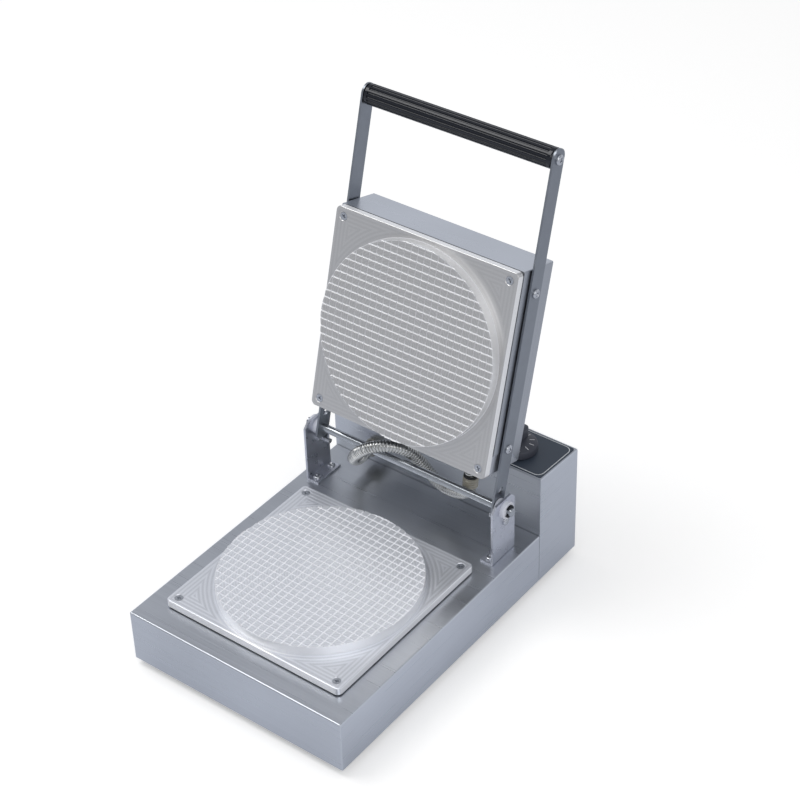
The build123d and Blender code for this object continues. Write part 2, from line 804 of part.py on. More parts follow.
def make_rear_panel():
    w = half - sheet - rear_gap
    bottom, top = rear_gap + sheet, box_rear_height - sheet - rear_gap
    inner, outer = box_rear - 2 * sheet, box_rear + cut_overrun
    panel = slab(-w, w, box_rear - sheet, box_rear, bottom, top)
    flange = slab(-w, w, box_rear - rear_flange, box_rear, bottom, top)
    flange -= slab(-w + sheet, w - sheet, box_rear - 2 * rear_flange, outer, 0, box_rear_height)
    panel += flange
    panel -= rod_y(gland_thread_radius + running_clearance, inner, outer, gland_x, gland_z)
    for i in range(louvre_count):
        z = louvre_bottom + i * louvre_pitch
        panel -= slab(louvre_x - louvre_length / 2, louvre_x + louvre_length / 2, inner, outer,
                      z - louvre_width / 2, z + louvre_width / 2)
    return panel


def make_cable_gland():
    hexagon = Rot(0, 0, 30) * RegularPolygon(gland_flange_across / 2, 6, major_radius=False)
    outer = extrude(hexagon, gland_flange, dir=(0, 0, 1))
    dome = Cone(gland_thread_radius + gland_shoulder, gland_dome_tip_radius, gland_dome_length)
    dome = Pos(0, 0, gland_flange + gland_dome_length / 2) * dome
    thread = rod_z(gland_thread_radius, -sheet - 2 * gland_nut_height, 0)
    gland = outer + dome + thread - rod_z(gland_bore, -4 * gland_nut_height, 2 * gland_dome_length)
    return Pos(gland_x, box_rear, gland_z) * Rot(-90, 0, 0) * gland


def make_gland_nut():
    hexagon = RegularPolygon(gland_flange_across / 2, 6, major_radius=False)
    nut = extrude(hexagon, gland_nut_height, dir=(0, 0, 1))
    nut -= rod_z(gland_thread_radius + running_clearance, -cut_overrun, gland_nut_height + cut_overrun)
    return Pos(gland_x, box_rear - sheet, gland_z) * Rot(90, 0, 0) * nut


# Hose fittings: a flanged ferrule that the hose end enters, on the wall it leaves by

def hose_fitting():
    body = rod_z(fitting_radius, 0, fitting_flange) + rod_z(hose_radius + fitting_wall, 0, fitting_length)
    body += rod_z(fitting_radius - fitting_wall - running_clearance, -2 * sheet, 0)
    body -= rod_z(hose_radius + hose_fit, sheet, fitting_length + cut_overrun)
    return body - rod_z(hose_bore, -3 * sheet, fitting_length)


def make_box_fitting():
    return Pos(hose_box_x, base_depth, hose_box_z) * Rot(90, 0, 0) * hose_fitting()


def make_lid_fitting():
    return Pos(hose_lid_x, liner_end, hose_lid_z) * Rot(-90, 0, 0) * hose_fitting()


def lid_point(y, z):
    turn = math.radians(open_angle)
    dy = y - axle_y
    dz = z - axle_height
    return (axle_y + dy * math.cos(turn) + dz * math.sin(turn),
            axle_height - dy * math.sin(turn) + dz * math.cos(turn))


def hose_route():
    lid_seat = lid_point(liner_end + sheet, hose_lid_z)
    lid_lead = lid_point(liner_end + sheet + hose_lid_lead, hose_lid_z)
    return [(hose_box_x, base_depth - sheet, hose_box_z),
            (hose_box_x, base_depth - sheet - hose_straight, hose_box_z),
            (-73.5, 276.0, 73.0), (-69.0, 262.0, 85.5), (-50.5, 246.0, 111.0), (-34.0, 245.5, 126.0),
            (-19.4, 252.5, 130.4), (-7.4, 262.5, 126.2), (0.3, 272.0, 113.5), (8.2, 277.5, 98.5),
            (22.0, 278.0, 87.0), (41.0, 275.5, 87.5), (57.5, 272.5, 97.0), (hose_lid_x, 271.8, 113.0),
            (hose_lid_x, lid_lead[0], lid_lead[1]), (hose_lid_x, lid_seat[0], lid_seat[1])]


def hose_path():
    points = [Vector(*point) for point in hose_route()]
    radii = []
    for before, corner, after in zip(points, points[1:], points[2:]):
        turn = math.radians((corner - before).get_angle(after - corner))
        shorter = min((corner - before).length, (after - corner).length)
        radii.append(bend_share * shorter / math.tan(turn / 2))
    print("hose radii", [round(radius, 1) for radius in radii])
    return FilletPolyline(*points, radius=radii)


def hose_sections(length):
    # Each rib is a flat crest between two sloping sides, with a narrow valley before the next one.
    count = int((length - 2 * hose_straight) // hose_rib_pitch)
    start = (length - count * hose_rib_pitch) / 2
    valley = hose_radius - hose_rib_depth
    sections = [(0, valley)]
    for i in range(count):
        for share, rise in hose_rib_shape:
            sections.append((start + (i + share) * hose_rib_pitch, valley + rise * hose_rib_depth))
    return sections + [(length, valley)]


def make_hose():
    path = hose_path()
    across = Vector(1, 0, 0)
    rings = []
    for place, radius in hose_sections(path.length):
        along = path.tangent_at(place / path.length)
        across = (across - along * across.dot(along)).normalized()
        rings.append(Plane(path.position_at(place / path.length), x_dir=across, z_dir=along) * Circle(radius))
    tube = loft(rings, ruled=True)
    bore = sweep(Plane(origin=path @ 0, z_dir=path % 0) * Circle(hose_bore), path=path)
    print("hose length", round(path.length, 1), "bore volume ratio",
          round(bore.volume / (math.pi * hose_bore ** 2 * path.length), 4), "least self gap",
          round(self_gap(path), 1))
    return tube - bore


def self_gap(path, steps=160):
    # Stretches within a few diameters of each other along the hose are neighbours, not crossings.
    points = [path.position_at(i / steps) for i in range(steps + 1)]
    apart = math.ceil(neighbour_diameters * 2 * hose_radius / path.length * steps)
    pairs = [(i, j) for i in range(steps) for j in range(i + apart, steps + 1)]
    return min((points[i] - points[j]).length for i, j in pairs) - 2 * hose_radius


base_nodes = {
    "base_casing": make_base_casing,
    "control_casing": make_control_casing,
    "rear_panel": make_rear_panel,
    "bottom_plate": make_bottom_plate,
    "feet": make_feet,
    "foot_screws": make_foot_screws,
    "lower_plate": lambda: lower_place * grid_plate(),
    "lower_gasket": lambda: lower_place * plate_gasket(),
    "lower_plate_screws": lambda: lower_place * plate_screws(),
    "lower_plate_nuts": lambda: lower_place * plate_nuts(),
    "lower_heater": lambda: lower_place * heater(),
    "lower_heater_clamp": lambda: lower_place * heater_clamp(),
    "lower_insulation": lambda: lower_place * insulation(),
    "right_bracket": make_bracket,
    "left_bracket": lambda: mirror(make_bracket(), about=Plane.YZ),
    "bracket_screws": make_bracket_screws,
    "inner_bushes": make_inner_bushes,
    "outer_bushes": make_outer_bushes,
    "stop_bolts": make_stop_bolts,
    "stop_nuts": make_stop_nuts,
    "panel_overlay": make_overlay,
    "timer_body": lambda: make_control_body(control_x, timer_depth),
    "thermostat_body": lambda: make_control_body(-control_x, thermostat_depth),
    "control_screws": make_control_screws,
    "pilot_lamps": make_lamps,
    "terminal_block": make_terminal_block,
    "cable_gland": make_cable_gland,
    "cable_gland_nut": make_gland_nut,
    "box_hose_fitting": make_box_fitting,
    "timer_knob": lambda: make_knob(control_x),
    "timer_shaft": lambda: make_shaft(control_x, timer_depth),
    "thermostat_knob": lambda: make_knob(-control_x),
    "thermostat_shaft": lambda: make_shaft(-control_x, thermostat_depth),
    "hose": make_hose,
}

lid_nodes = {
    "upper_plate": lambda: upper_place * grid_plate(),
    "upper_gasket": lambda: upper_place * plate_gasket(),
    "upper_plate_screws": lambda: upper_place * plate_screws(),
    "upper_plate_nuts": lambda: upper_place * plate_nuts(),
    "upper_heater": lambda: upper_place * heater(),
    "upper_heater_clamp": lambda: upper_place * heater_clamp(),
    "upper_insulation": lambda: upper_place * insulation(),
    "lid_cover": make_lid_cover,
    "lid_liner": make_lid_liner,
    "right_arm": make_arm,
    "left_arm": lambda: mirror(make_arm(), about=Plane.YZ),
    "arm_spacers": make_arm_spacers,
    "arm_screws": make_arm_screws,
    "arm_nuts": make_arm_nuts,
    "handle_grip": make_handle_grip,
    "handle_rod": make_handle_rod,
    "handle_screws": make_handle_screws,
    "axle": make_axle,
    "axle_clips": make_axle_clips,
    "lid_hose_fitting": make_lid_fitting,
}

os.makedirs("parts", exist_ok=True)
for name, make in base_nodes.items():
    export_step(to_frame * make(), f"parts/{name}.step")
for name, make in lid_nodes.items():
    export_step(to_frame * lid_open * make(), f"parts/{name}.step")
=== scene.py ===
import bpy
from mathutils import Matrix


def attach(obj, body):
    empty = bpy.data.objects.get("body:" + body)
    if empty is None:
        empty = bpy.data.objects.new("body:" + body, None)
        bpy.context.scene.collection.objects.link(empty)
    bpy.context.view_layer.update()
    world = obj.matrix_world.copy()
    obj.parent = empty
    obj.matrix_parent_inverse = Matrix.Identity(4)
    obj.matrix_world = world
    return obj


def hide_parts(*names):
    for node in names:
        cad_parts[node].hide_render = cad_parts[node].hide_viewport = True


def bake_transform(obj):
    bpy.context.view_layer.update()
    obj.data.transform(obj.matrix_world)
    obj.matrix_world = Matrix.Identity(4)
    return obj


bl_info = {
    "name": "Double-plate waffle cooker",
    "version": (1, 0, 0),
    "blender": (4, 5, 0),
    "location": "View3D > Sidebar > Cooker",
    "description": "Finishes, small hardware, hose, printing and stage for a waffle cooker with a swing-up lid",
    "category": "Object",
}

import math

import bmesh
import bpy
from mathutils import Matrix, Vector

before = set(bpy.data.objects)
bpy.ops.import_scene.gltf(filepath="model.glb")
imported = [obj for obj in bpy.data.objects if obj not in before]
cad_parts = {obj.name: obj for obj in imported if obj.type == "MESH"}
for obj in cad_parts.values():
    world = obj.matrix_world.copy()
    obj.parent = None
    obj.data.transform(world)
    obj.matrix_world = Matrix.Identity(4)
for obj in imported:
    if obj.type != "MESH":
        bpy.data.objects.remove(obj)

MM = 0.001

# From the casing's lower front edge to the shared frame, in millimetres
TO_FRAME = Vector((0.0, -191.3, 8.0))


def hex_colour(code):
    """An sRGB hex colour as the linear red, green, blue and alpha that a shader takes."""
    channels = [int(code[i:i + 2], 16) / 255 for i in (1, 3, 5)]
    linear = [c / 12.92 if c <= 0.04045 else ((c + 0.055) / 1.055) ** 2.4 for c in channels]
    return (*linear, 1.0)


def colour_property(name, description, code):
    """A colour in the sidebar, given as sRGB hex."""
    return bpy.props.FloatVectorProperty(
        name=name, description=description, default=hex_colour(code), size=4, min=0.0, max=1.0, subtype="COLOR")


def length_property(name, description, millimetres):
    """A length in the sidebar, given in millimetres."""
    return bpy.props.FloatProperty(
        name=name, description=description, default=millimetres * MM, min=0.0, precision=4, unit="LENGTH",
        subtype="DISTANCE")


class CookerColours(bpy.types.PropertyGroup):
    """Colours of the cooker's finishes."""

    casing: colour_property("Casing steel", "Brushed stainless steel of the base and control box", "#cfd2d7")
    cover: colour_property("Lid steel", "Brushed stainless steel of the lid cover", "#c8cbd0")
    liner: colour_property("Liner steel", "Steel tray inside the lid", "#c2c4c8")
    bar: colour_property("Bar steel", "Cold-rolled bar of the lifting arms", "#94989e")
    bracket: colour_property("Bracket steel", "Pressed steel of the hinge brackets", "#d2d4dc")
    # Both plates are the same aluminium; their two colours are painted light and shade, with the upper plate's
    # darker
    lower_face: colour_property("Lower plate", "Milled aluminium of the lower grid plate", "#e9ebf0")
    upper_face: colour_property("Upper plate", "Milled aluminium of the upper grid plate", "#c8c7c6")
    # A painted highlight: the light colour drawn along the grid grooves, the plate edges and the step
    groove_highlight: colour_property("Groove walls", "Painted highlight along the grid grooves", "#fbfcff")
    rod: colour_property("Axle", "Ground steel of the hinge axle", "#b6babf")
    hose: colour_property("Hose", "Bright interlocked steel of the ribbed hose", "#cfcfcc")
    screws: colour_property("Screws", "Bright zinc-plated screws", "#c4c6ca")
    grip: colour_property("Grip", "Moulded black phenolic of the handle", "#10131c")
    overlay: colour_property("Panel overlay", "Printed polyester sheet on the control box", "#38424f")
    printing: colour_property("Printing", "Silver-grey ink on the panel overlay", "#dde1e5")
    bush: colour_property("Bushes", "Natural nylon of the axle bushes", "#d8dbe6")
    rubber: colour_property("Rubber", "Black rubber of the feet", "#1c1c1e")
    floor: colour_property("Floor", "Plain pale floor under the cooker", "#f2f2f2")


class CookerSizes(bpy.types.PropertyGroup):
    """Sizes of the small parts that are modelled here."""

    hose_diameter: length_property("Hose diameter", "Outside diameter of the ribbed hose", 12.0)
    hose_pitch: length_property("Hose rib pitch", "Distance from one rib of the hose to the next", 2.8)
    hose_valley: length_property("Hose rib depth", "Depth of the valleys between the hose's ribs", 1.1)
    plate_screw: length_property("Plate screw head", "Head radius of the countersunk plate screws", 4.2)
    bracket_screw: length_property("Bracket screw head", "Head radius of the bracket screws", 4.0)
    arm_screw: length_property("Arm screw head", "Head radius of the screws through the lifting arms", 4.6)
    handle_screw: length_property("Handle screw head", "Head radius of the screws at the handle's ends", 5.0)
    border_width: length_property("Border width", "Width of the printed line round the panel", 0.8)
    numeral_height: length_property("Numeral height", "Height of the printed dial numbers", 2.6)


# Places and sizes on the cooker in millimetres, the same as the metalwork's; the open angle is in degrees

OPEN_ANGLE = 105.44
AXLE = Vector((0.0, 259.3, 111.3))
CONTROL_X = 75.6
CONTROL_DEPTH = 26.5
BASE_DEPTH = 301.0
BOX_DEPTH = 61.6
BOX_FRONT_HEIGHT = 122.7
BOX_REAR_HEIGHT = 119.2
BODY_WIDTH = 242.8
PANEL_TILT = math.atan((BOX_FRONT_HEIGHT - BOX_REAR_HEIGHT) / BOX_DEPTH)
PLATE_CENTRE = 125.6
LOWER_FACE = 63.5
UPPER_FACE = 83.8
SCREW_SPREAD = 91.1
OVERLAY_THICKNESS = 0.6
BORDER_INSET = 3.1
BORDER_CORNER = 7.5
INK_THICKNESS = 0.04
POINTER_DEPTH = 49.9
KNOB_LIFT = 1.4
BRACKET_FOOT_TOP = 57.3
BRACKET_SCREW_X = 102.5
BRACKET_SCREW_DEPTHS = (246.9, 269.0)
ARM_SCREW_DEPTHS = (49.0, 201.0)
HANDLE_DEPTH = -74.0
COUNTERSINK_DROP = 0.45
ARM_OUTER_FACE = 103.0
PLATE_HALF = 100.0
FIELD_RADIUS = 95.5
GROOVE_PITCH = 7.26

# Finishes, in millimetres

STREAK_WIDTH = 1.2
TRACK_WIDTH = 1.9
TURNING_WIDTH = 1.3

# Steps round the turned shapes that show large
FINE_STEPS = 72


def in_frame(x, y, z):
    """A point given in millimetres from the casing's lower front edge, in metres in the shared frame."""
    return (Vector((x, y, z)) + TO_FRAME) * MM


def shifted(x, y, z):
    """The move from the origin to such a point."""
    return Matrix.Translation(in_frame(x, y, z))


def lid_swing():
    """The turn from the lid's closed place to its open one, which is how it rests."""
    axle = in_frame(*AXLE)
    turn = Matrix.Rotation(-math.radians(OPEN_ANGLE), 4, "X")
    return Matrix.Translation(axle) @ turn @ Matrix.Translation(-axle)


def outward_place(side, reach, y):
    """A place beside the lid at the axle's height, its Z axis pointing away from the lid."""
    turn = Matrix.Rotation(math.pi / 2, 4, "Y")
    if side < 0:
        turn = Matrix.Rotation(math.pi, 4, "Z") @ turn
    return lid_swing() @ shifted(side * reach, y, AXLE.z) @ turn


def on_panel(x, y, lift):
    """A place on the sloping control panel, lift millimetres above it."""
    height = BOX_FRONT_HEIGHT - math.tan(PANEL_TILT) * y
    return (shifted(x, BASE_DEPTH + y, height) @ Matrix.Rotation(-PANEL_TILT, 4, "X")
            @ Matrix.Translation((0, 0, lift * MM)))


# Materials

def add_node(tree, kind, inputs=None, **settings):
    """One shader node with its settings, socket values and incoming links."""
    node = tree.nodes.new(kind)
    for name, value in settings.items():
        setattr(node, name, value)
    for socket, value in (inputs or {}).items():
        if isinstance(value, bpy.types.NodeSocket):
            tree.links.new(value, node.inputs[socket])
        else:
            node.inputs[socket].default_value = value
    return node


def shader_of(material):
    return material.node_tree.nodes["Principled BSDF"]


def start_material(name, **sockets):
    """A new material with values on its shader's sockets."""
    material = bpy.data.materials.new(name)
    material.use_nodes = True
    shader = shader_of(material)
    for socket, value in sockets.items():
        shader.inputs[socket.replace("_", " ")].default_value = value
    return material


def math_node(tree, operation, first, second=0.0):
    """The result of one sum on two values or sockets."""
    return add_node(tree, "ShaderNodeMath", {0: first, 1: second}, operation=operation).outputs[0]


def ramp(tree, value, low, high, out_low, out_high):
    """Takes a value from one range to another and holds it at the ends."""
    sockets = {"Value": value, "From Min": low, "From Max": high, "To Min": out_low, "To Max": out_high}
    return add_node(tree, "ShaderNodeMapRange", sockets, clamp=True).outputs["Result"]


def tinted(tree, colour, amount):
    """The colour made lighter or darker by an amount near 1."""
    mixed = add_node(tree, "ShaderNodeMix", {"Factor": 1.0, 6: colour, 7: amount}, data_type="RGBA",
                     blend_type="MULTIPLY")
    return mixed.outputs[2]


def brushed_steel(name, colour, roughness, turn=(0.0, 0.0, 0.0), painted_side_light=1.0, painted_under_shade=1.0):
    """Stainless sheet brushed along its length.

    The fine parallel scratches blur reflections and leave faint lighter and darker streaks. Real
    scratches are about 0.1 mm apart, too fine to show, so they are drawn 1.2 mm wide. The sides
    can be painted lighter or darker, as painted light and shade, and the faces that look down
    painted darker, as painted shade.
    """
    material = start_material(name, Metallic=1.0, Base_Color=colour, Roughness=roughness)
    tree = material.node_tree
    shader = shader_of(material)
    place = add_node(tree, "ShaderNodeTexCoord")
    aligned = add_node(tree, "ShaderNodeMapping", {"Vector": place.outputs["Object"], "Rotation": turn})
    streaks = []
    along, across = 6.0, 1 / (STREAK_WIDTH * MM)
    for stretch in ((along, across, across), (across, along, across)):
        scaled = add_node(tree, "ShaderNodeMapping", {"Vector": aligned.outputs[0], "Scale": stretch})
        noise = add_node(tree, "ShaderNodeTexNoise", {"Vector": scaled.outputs[0], "Scale": 1.0, "Detail": 2.0,
                                                      "Roughness": 0.6})
        streaks.append(noise.outputs[0])
    facing = add_node(tree, "ShaderNodeSeparateXYZ", {0: place.outputs["Normal"]})
    sideways = math_node(tree, "GREATER_THAN", math_node(tree, "ABSOLUTE", facing.outputs[0]), 0.7)
    streak = add_node(tree, "ShaderNodeMix", {0: sideways, 2: streaks[0], 3: streaks[1]}).outputs[0]
    cloud = add_node(tree, "ShaderNodeTexNoise", {"Vector": place.outputs["Object"], "Scale": 9.0,
                                                  "Detail": 1.0})
    shade = math_node(tree, "MULTIPLY", ramp(tree, streak, 0.3, 0.7, 0.975, 1.025),
                      ramp(tree, cloud.outputs[0], 0.3, 0.7, 0.955, 1.045))
    # Painted light and shade: the sides are made lighter or darker, and the faces that look down darker
    shade = math_node(tree, "MULTIPLY", shade, ramp(tree, sideways, 0.0, 1.0, 1.0, painted_side_light))
    shade = math_node(tree, "MULTIPLY", shade, ramp(tree, facing.outputs[2], -0.9, -0.6, painted_under_shade, 1.0))
    tree.links.new(tinted(tree, colour, shade), shader.inputs["Base Color"])
    tree.links.new(ramp(tree, streak, 0.3, 0.7, roughness - 0.03, roughness + 0.04), shader.inputs["Roughness"])
    bump = add_node(tree, "ShaderNodeBump", {"Height": streak, "Distance": 0.00002, "Strength": 0.08})
    tree.links.new(bump.outputs[0], shader.inputs["Normal"])
    return material


def milled_aluminium(name, colour, groove_highlight_colour, centre, turn, wall_shine, track_depth, glint):
    """Plate aluminium cut on a milling machine.

    The flange keeps the cutter's tracks: rings round the field and mitred bands at the corners, a
    few millimetres apart. The step round the field, the outer edges and the groove walls carry a
    painted highlight, a light and less metallic colour. wall_shine is how bright the painted
    highlight is on the walls along X at the front, and on the walls along Y. The ring round the
    field has a painted highlight in one sector, towards glint.
    """
    material = start_material(name, Metallic=0.85, Base_Color=colour, Roughness=0.34)
    tree = material.node_tree
    shader = shader_of(material)
    place = add_node(tree, "ShaderNodeTexCoord")
    local = add_node(tree, "ShaderNodeMapping", {"Vector": place.outputs["Object"], "Location": centre,
                                                 "Rotation": turn, "Scale": (MM, MM, MM)},
                     vector_type="TEXTURE")
    axes = add_node(tree, "ShaderNodeSeparateXYZ", {0: local.outputs[0]})
    x, y = axes.outputs[0], axes.outputs[1]
    flat = add_node(tree, "ShaderNodeCombineXYZ", {0: x, 1: y})
    radius = add_node(tree, "ShaderNodeVectorMath", {0: flat.outputs[0]}, operation="LENGTH").outputs["Value"]
    in_field = ramp(tree, radius, FIELD_RADIUS - 0.1, FIELD_RADIUS - 0.5, 0.0, 1.0)
    front_shine, side_shine = wall_shine
    # Painted highlight along the grooves: the lines along X fade towards the front, the lines along Y have one
    # brightness
    along = math_node(tree, "MULTIPLY",
                      ramp(tree, math_node(tree, "PINGPONG", y, GROOVE_PITCH / 2), 0.66, 0.42, 0.0, 1.0),
                      ramp(tree, y, -80.0, 60.0, front_shine, 1.0))
    across = ramp(tree, math_node(tree, "PINGPONG", x, GROOVE_PITCH / 2), 0.5 + 0.3 * side_shine,
                  0.25 + 0.25 * side_shine, 0.0, side_shine)
    groove_highlight = math_node(tree, "MULTIPLY", math_node(tree, "MAXIMUM", along, across), in_field)
    to_side = math_node(tree, "MINIMUM",
                        math_node(tree, "SUBTRACT", PLATE_HALF, math_node(tree, "ABSOLUTE", x)),
                        math_node(tree, "SUBTRACT", PLATE_HALF, math_node(tree, "ABSOLUTE", y)))
    step = math_node(tree, "MULTIPLY", ramp(tree, radius, FIELD_RADIUS - 0.9, FIELD_RADIUS - 0.3, 0.0, 1.0),
                     ramp(tree, radius, FIELD_RADIUS + 0.9, FIELD_RADIUS + 0.3, 0.0, 1.0))
    # Painted highlight along the outer edges and the step round the field
    rim = math_node(tree, "MAXIMUM", ramp(tree, to_side, 0.5, 0.2, 0.0, 0.8),
                    math_node(tree, "MULTIPLY", step, 0.6))
    inward = math_node(tree, "MINIMUM", to_side, math_node(tree, "SUBTRACT", radius, FIELD_RADIUS))
    band = math_node(tree, "MULTIPLY", math_node(tree, "PINGPONG", inward, TRACK_WIDTH), 1 / TRACK_WIDTH)
    on_flange = ramp(tree, radius, FIELD_RADIUS, FIELD_RADIUS + 0.5, 0.0, 1.0)
    track = math_node(tree, "MULTIPLY", math_node(tree, "SUBTRACT", band, 0.5), on_flange)
    grain = add_node(tree, "ShaderNodeTexNoise", {"Vector": local.outputs[0], "Scale": 0.9, "Detail": 4.0,
                                                  "Roughness": 0.7})
    turning = math_node(tree, "MULTIPLY", math_node(tree, "PINGPONG", radius, TURNING_WIDTH), in_field)
    shade = math_node(tree, "MULTIPLY", ramp(tree, grain.outputs[0], 0.3, 0.7, 0.95, 1.05),
                      ramp(tree, track, -0.5, 0.5, 1 - track_depth, 1 + track_depth))
    shade = math_node(tree, "MULTIPLY", shade, ramp(tree, turning, 0.0, TURNING_WIDTH, 1.02, 0.9))
    # Painted highlight: a bright sector of the ring round the field, towards glint, fixed on the plate
    outward = add_node(tree, "ShaderNodeVectorMath", {0: place.outputs["Object"], 1: centre},
                       operation="SUBTRACT")
    pointed = add_node(tree, "ShaderNodeVectorMath", {0: outward.outputs[0], 1: glint},
                       operation="DOT_PRODUCT")
    share = math_node(tree, "DIVIDE", pointed.outputs["Value"], math_node(tree, "MULTIPLY", radius, MM))
    on_ring = math_node(tree, "MULTIPLY", on_flange,
                        ramp(tree, radius, FIELD_RADIUS + 5.5, FIELD_RADIUS + 9.5, 1.0, 0.0))
    painted_glint = math_node(tree, "MULTIPLY", ramp(tree, share, 0.78, 0.98, 0.0, 0.38), on_ring)
    shade = math_node(tree, "ADD", shade, painted_glint)
    bright = math_node(tree, "MAXIMUM", groove_highlight, rim)
    mixed = add_node(tree, "ShaderNodeMix", {0: bright, 6: tinted(tree, colour, shade), 7: groove_highlight_colour},
                     data_type="RGBA")
    tree.links.new(mixed.outputs[2], shader.inputs["Base Color"])
    rough = math_node(tree, "ADD", ramp(tree, grain.outputs[0], 0.3, 0.7, 0.29, 0.38),
                      math_node(tree, "MULTIPLY", math_node(tree, "MAXIMUM", groove_highlight, in_field), 0.12))
    tree.links.new(rough, shader.inputs["Roughness"])
    # The painted highlights are made less metallic, so that they stay light
    metal = math_node(tree, "MULTIPLY", ramp(tree, in_field, 0.0, 1.0, 0.78, 0.7),
                      ramp(tree, bright, 0.0, 1.0, 1.0, 0.35))
    tree.links.new(metal, shader.inputs["Metallic"])
    bump = add_node(tree, "ShaderNodeBump", {"Height": track, "Distance": 0.0015 * track_depth,
                                             "Strength": 0.8})
    tree.links.new(bump.outputs[0], shader.inputs["Normal"])
    return material


def bright_metal(name, colour, roughness, mottle=0.06, scale=400.0, **sockets):
    """Plated, polished or rolled metal: even shine with a slight mottle of handling marks."""
    material = start_material(name, **{"Metallic": 1.0, "Base_Color": colour, "Roughness": roughness,
                                       **sockets})
    tree = material.node_tree
    shader = shader_of(material)
    place = add_node(tree, "ShaderNodeTexCoord")
    marks = add_node(tree, "ShaderNodeTexNoise", {"Vector": place.outputs["Object"], "Scale": scale,
                                                  "Detail": 3.0})
    tree.links.new(tinted(tree, colour, ramp(tree, marks.outputs[0], 0.3, 0.7, 1 - mottle, 1 + mottle)),
                   shader.inputs["Base Color"])
    tree.links.new(ramp(tree, marks.outputs[0], 0.3, 0.7, max(roughness - 0.05, 0.03), roughness + 0.06),
                   shader.inputs["Roughness"])
    return material


def moulded(name, colour, roughness, grain_size=0.0006, depth=0.00003, **sockets):
    """Moulded plastic or rubber: a fine pebbled skin that softens its highlights."""
    material = start_material(name, Base_Color=colour, Roughness=roughness, **sockets)
    tree = material.node_tree
    shader = shader_of(material)
    place = add_node(tree, "ShaderNodeTexCoord")
    skin = add_node(tree, "ShaderNodeTexNoise", {"Vector": place.outputs["Object"], "Scale": 1 / grain_size,
                                                 "Detail": 2.0})
    tree.links.new(tinted(tree, colour, ramp(tree, skin.outputs[0], 0.3, 0.7, 0.93, 1.07)),
                   shader.inputs["Base Color"])
    tree.links.new(ramp(tree, skin.outputs[0], 0.3, 0.7, roughness - 0.04, roughness + 0.05),
                   shader.inputs["Roughness"])
    bump = add_node(tree, "ShaderNodeBump", {"Height": skin.outputs[0], "Distance": depth, "Strength": 0.5})
    tree.links.new(bump.outputs[0], shader.inputs["Normal"])
    return material


def dress(material, *nodes):
    """Gives the material to CAD pieces, by their node names."""
    for name in nodes:
        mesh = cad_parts[name].data
        mesh.materials.clear()
        mesh.materials.append(material)


# Shapes

def box(x, y, z):
    """A block of the given size, centred on the local origin."""
    shape = bmesh.new()
    bmesh.ops.create_cube(shape, size=1.0)
    bmesh.ops.scale(shape, verts=shape.verts, vec=(x, y, z))
    return shape


def in_metres(profile):
    """A profile of (radius, height) points in metres, from millimetres."""
    return [(radius * MM, height * MM) for radius, height in profile]


def place_piece(name, shape, material, body, replaced=()):
    """Turns a finished bmesh into a piece that rides on its body."""
    mesh = bpy.data.meshes.new(name)
    shape.to_mesh(mesh)
    shape.free()
    mesh.materials.append(material)
    piece = bpy.data.objects.new(name, mesh)
    bpy.context.scene.collection.objects.link(piece)
    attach(piece, body)
    if replaced:
        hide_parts(*replaced)


def edges_of(verts):
    """The edges that join the given points."""
    chosen = set(verts)
    return list({edge for vert in verts for edge in vert.link_edges if edge.other_vert(vert) in chosen})


def draw_out(shape, loop, scale, drop):
    """Extends an open loop of edges downwards, scaled about the local Z axis, and gives the new loop."""
    made = bmesh.ops.extrude_edge_only(shape, edges=loop)["geom"]
    verts = [item for item in made if isinstance(item, bmesh.types.BMVert)]
    bmesh.ops.scale(shape, verts=verts, vec=(scale, scale, 1.0))
    bmesh.ops.translate(shape, verts=verts, vec=(0.0, 0.0, -drop))
    return [item for item in made if isinstance(item, bmesh.types.BMEdge)]


# The cross recess, as shares of the head's radius, and its floor as a share of its mouth
RECESS_HALF_WIDTH = 0.15
RECESS_REACH = 0.52
RECESS_DEPTH = 0.42
RECESS_FLOOR = 0.45


def cross_head_screw(radius, profile, shank_radius, shank_length):
    """A screw head with a cross recess, top at height 0, with its shank below.

    profile lists each ring of the head from the rim down, as (radius, height) in metres.
    """
    shape = bmesh.new()
    top_radius = profile[0][0]
    rim = bmesh.ops.create_circle(shape, segments=32, radius=top_radius)["verts"]
    arm, reach = RECESS_HALF_WIDTH * radius, RECESS_REACH * radius
    corners = [(arm, reach), (arm, arm), (reach, arm), (reach, -arm), (arm, -arm), (arm, -reach),
               (-arm, -reach), (-arm, -arm), (-reach, -arm), (-reach, arm), (-arm, arm), (-arm, reach)]
    cross = [shape.verts.new((x, y, 0.0)) for x, y in corners]
    slot = [shape.edges.new((a, b)) for a, b in zip(cross, cross[1:] + cross[:1])]
    loop = edges_of(rim)
    bmesh.ops.bridge_loops(shape, edges=loop + slot)
    floor = draw_out(shape, slot, RECESS_FLOOR, RECESS_DEPTH * radius)
    bmesh.ops.contextual_create(shape, geom=floor)
    last_radius, last_height = profile[0]
    for ring_radius, height in list(profile[1:]) + [(shank_radius, profile[-1][1]),
                                                   (shank_radius, profile[-1][1] - shank_length)]:
        loop = draw_out(shape, loop, ring_radius / last_radius, last_height - height)
        last_radius, last_height = ring_radius, height
    bmesh.ops.contextual_create(shape, geom=loop)
    bmesh.ops.recalc_face_normals(shape, faces=shape.faces)
    return shape


def dome_profile(radius, height):
    """The rings of a domed head whose rim is at -height and whose top is at 0."""
    rings = [(radius * math.sin(math.radians(a)), height * (math.cos(math.radians(a)) - 1))
             for a in (36, 48, 60, 72, 82)]
    flat = rings[0][1]
    return [(r, z - flat) for r, z in rings] + [(radius, -height), (radius * 0.98, -height - 0.0004)]


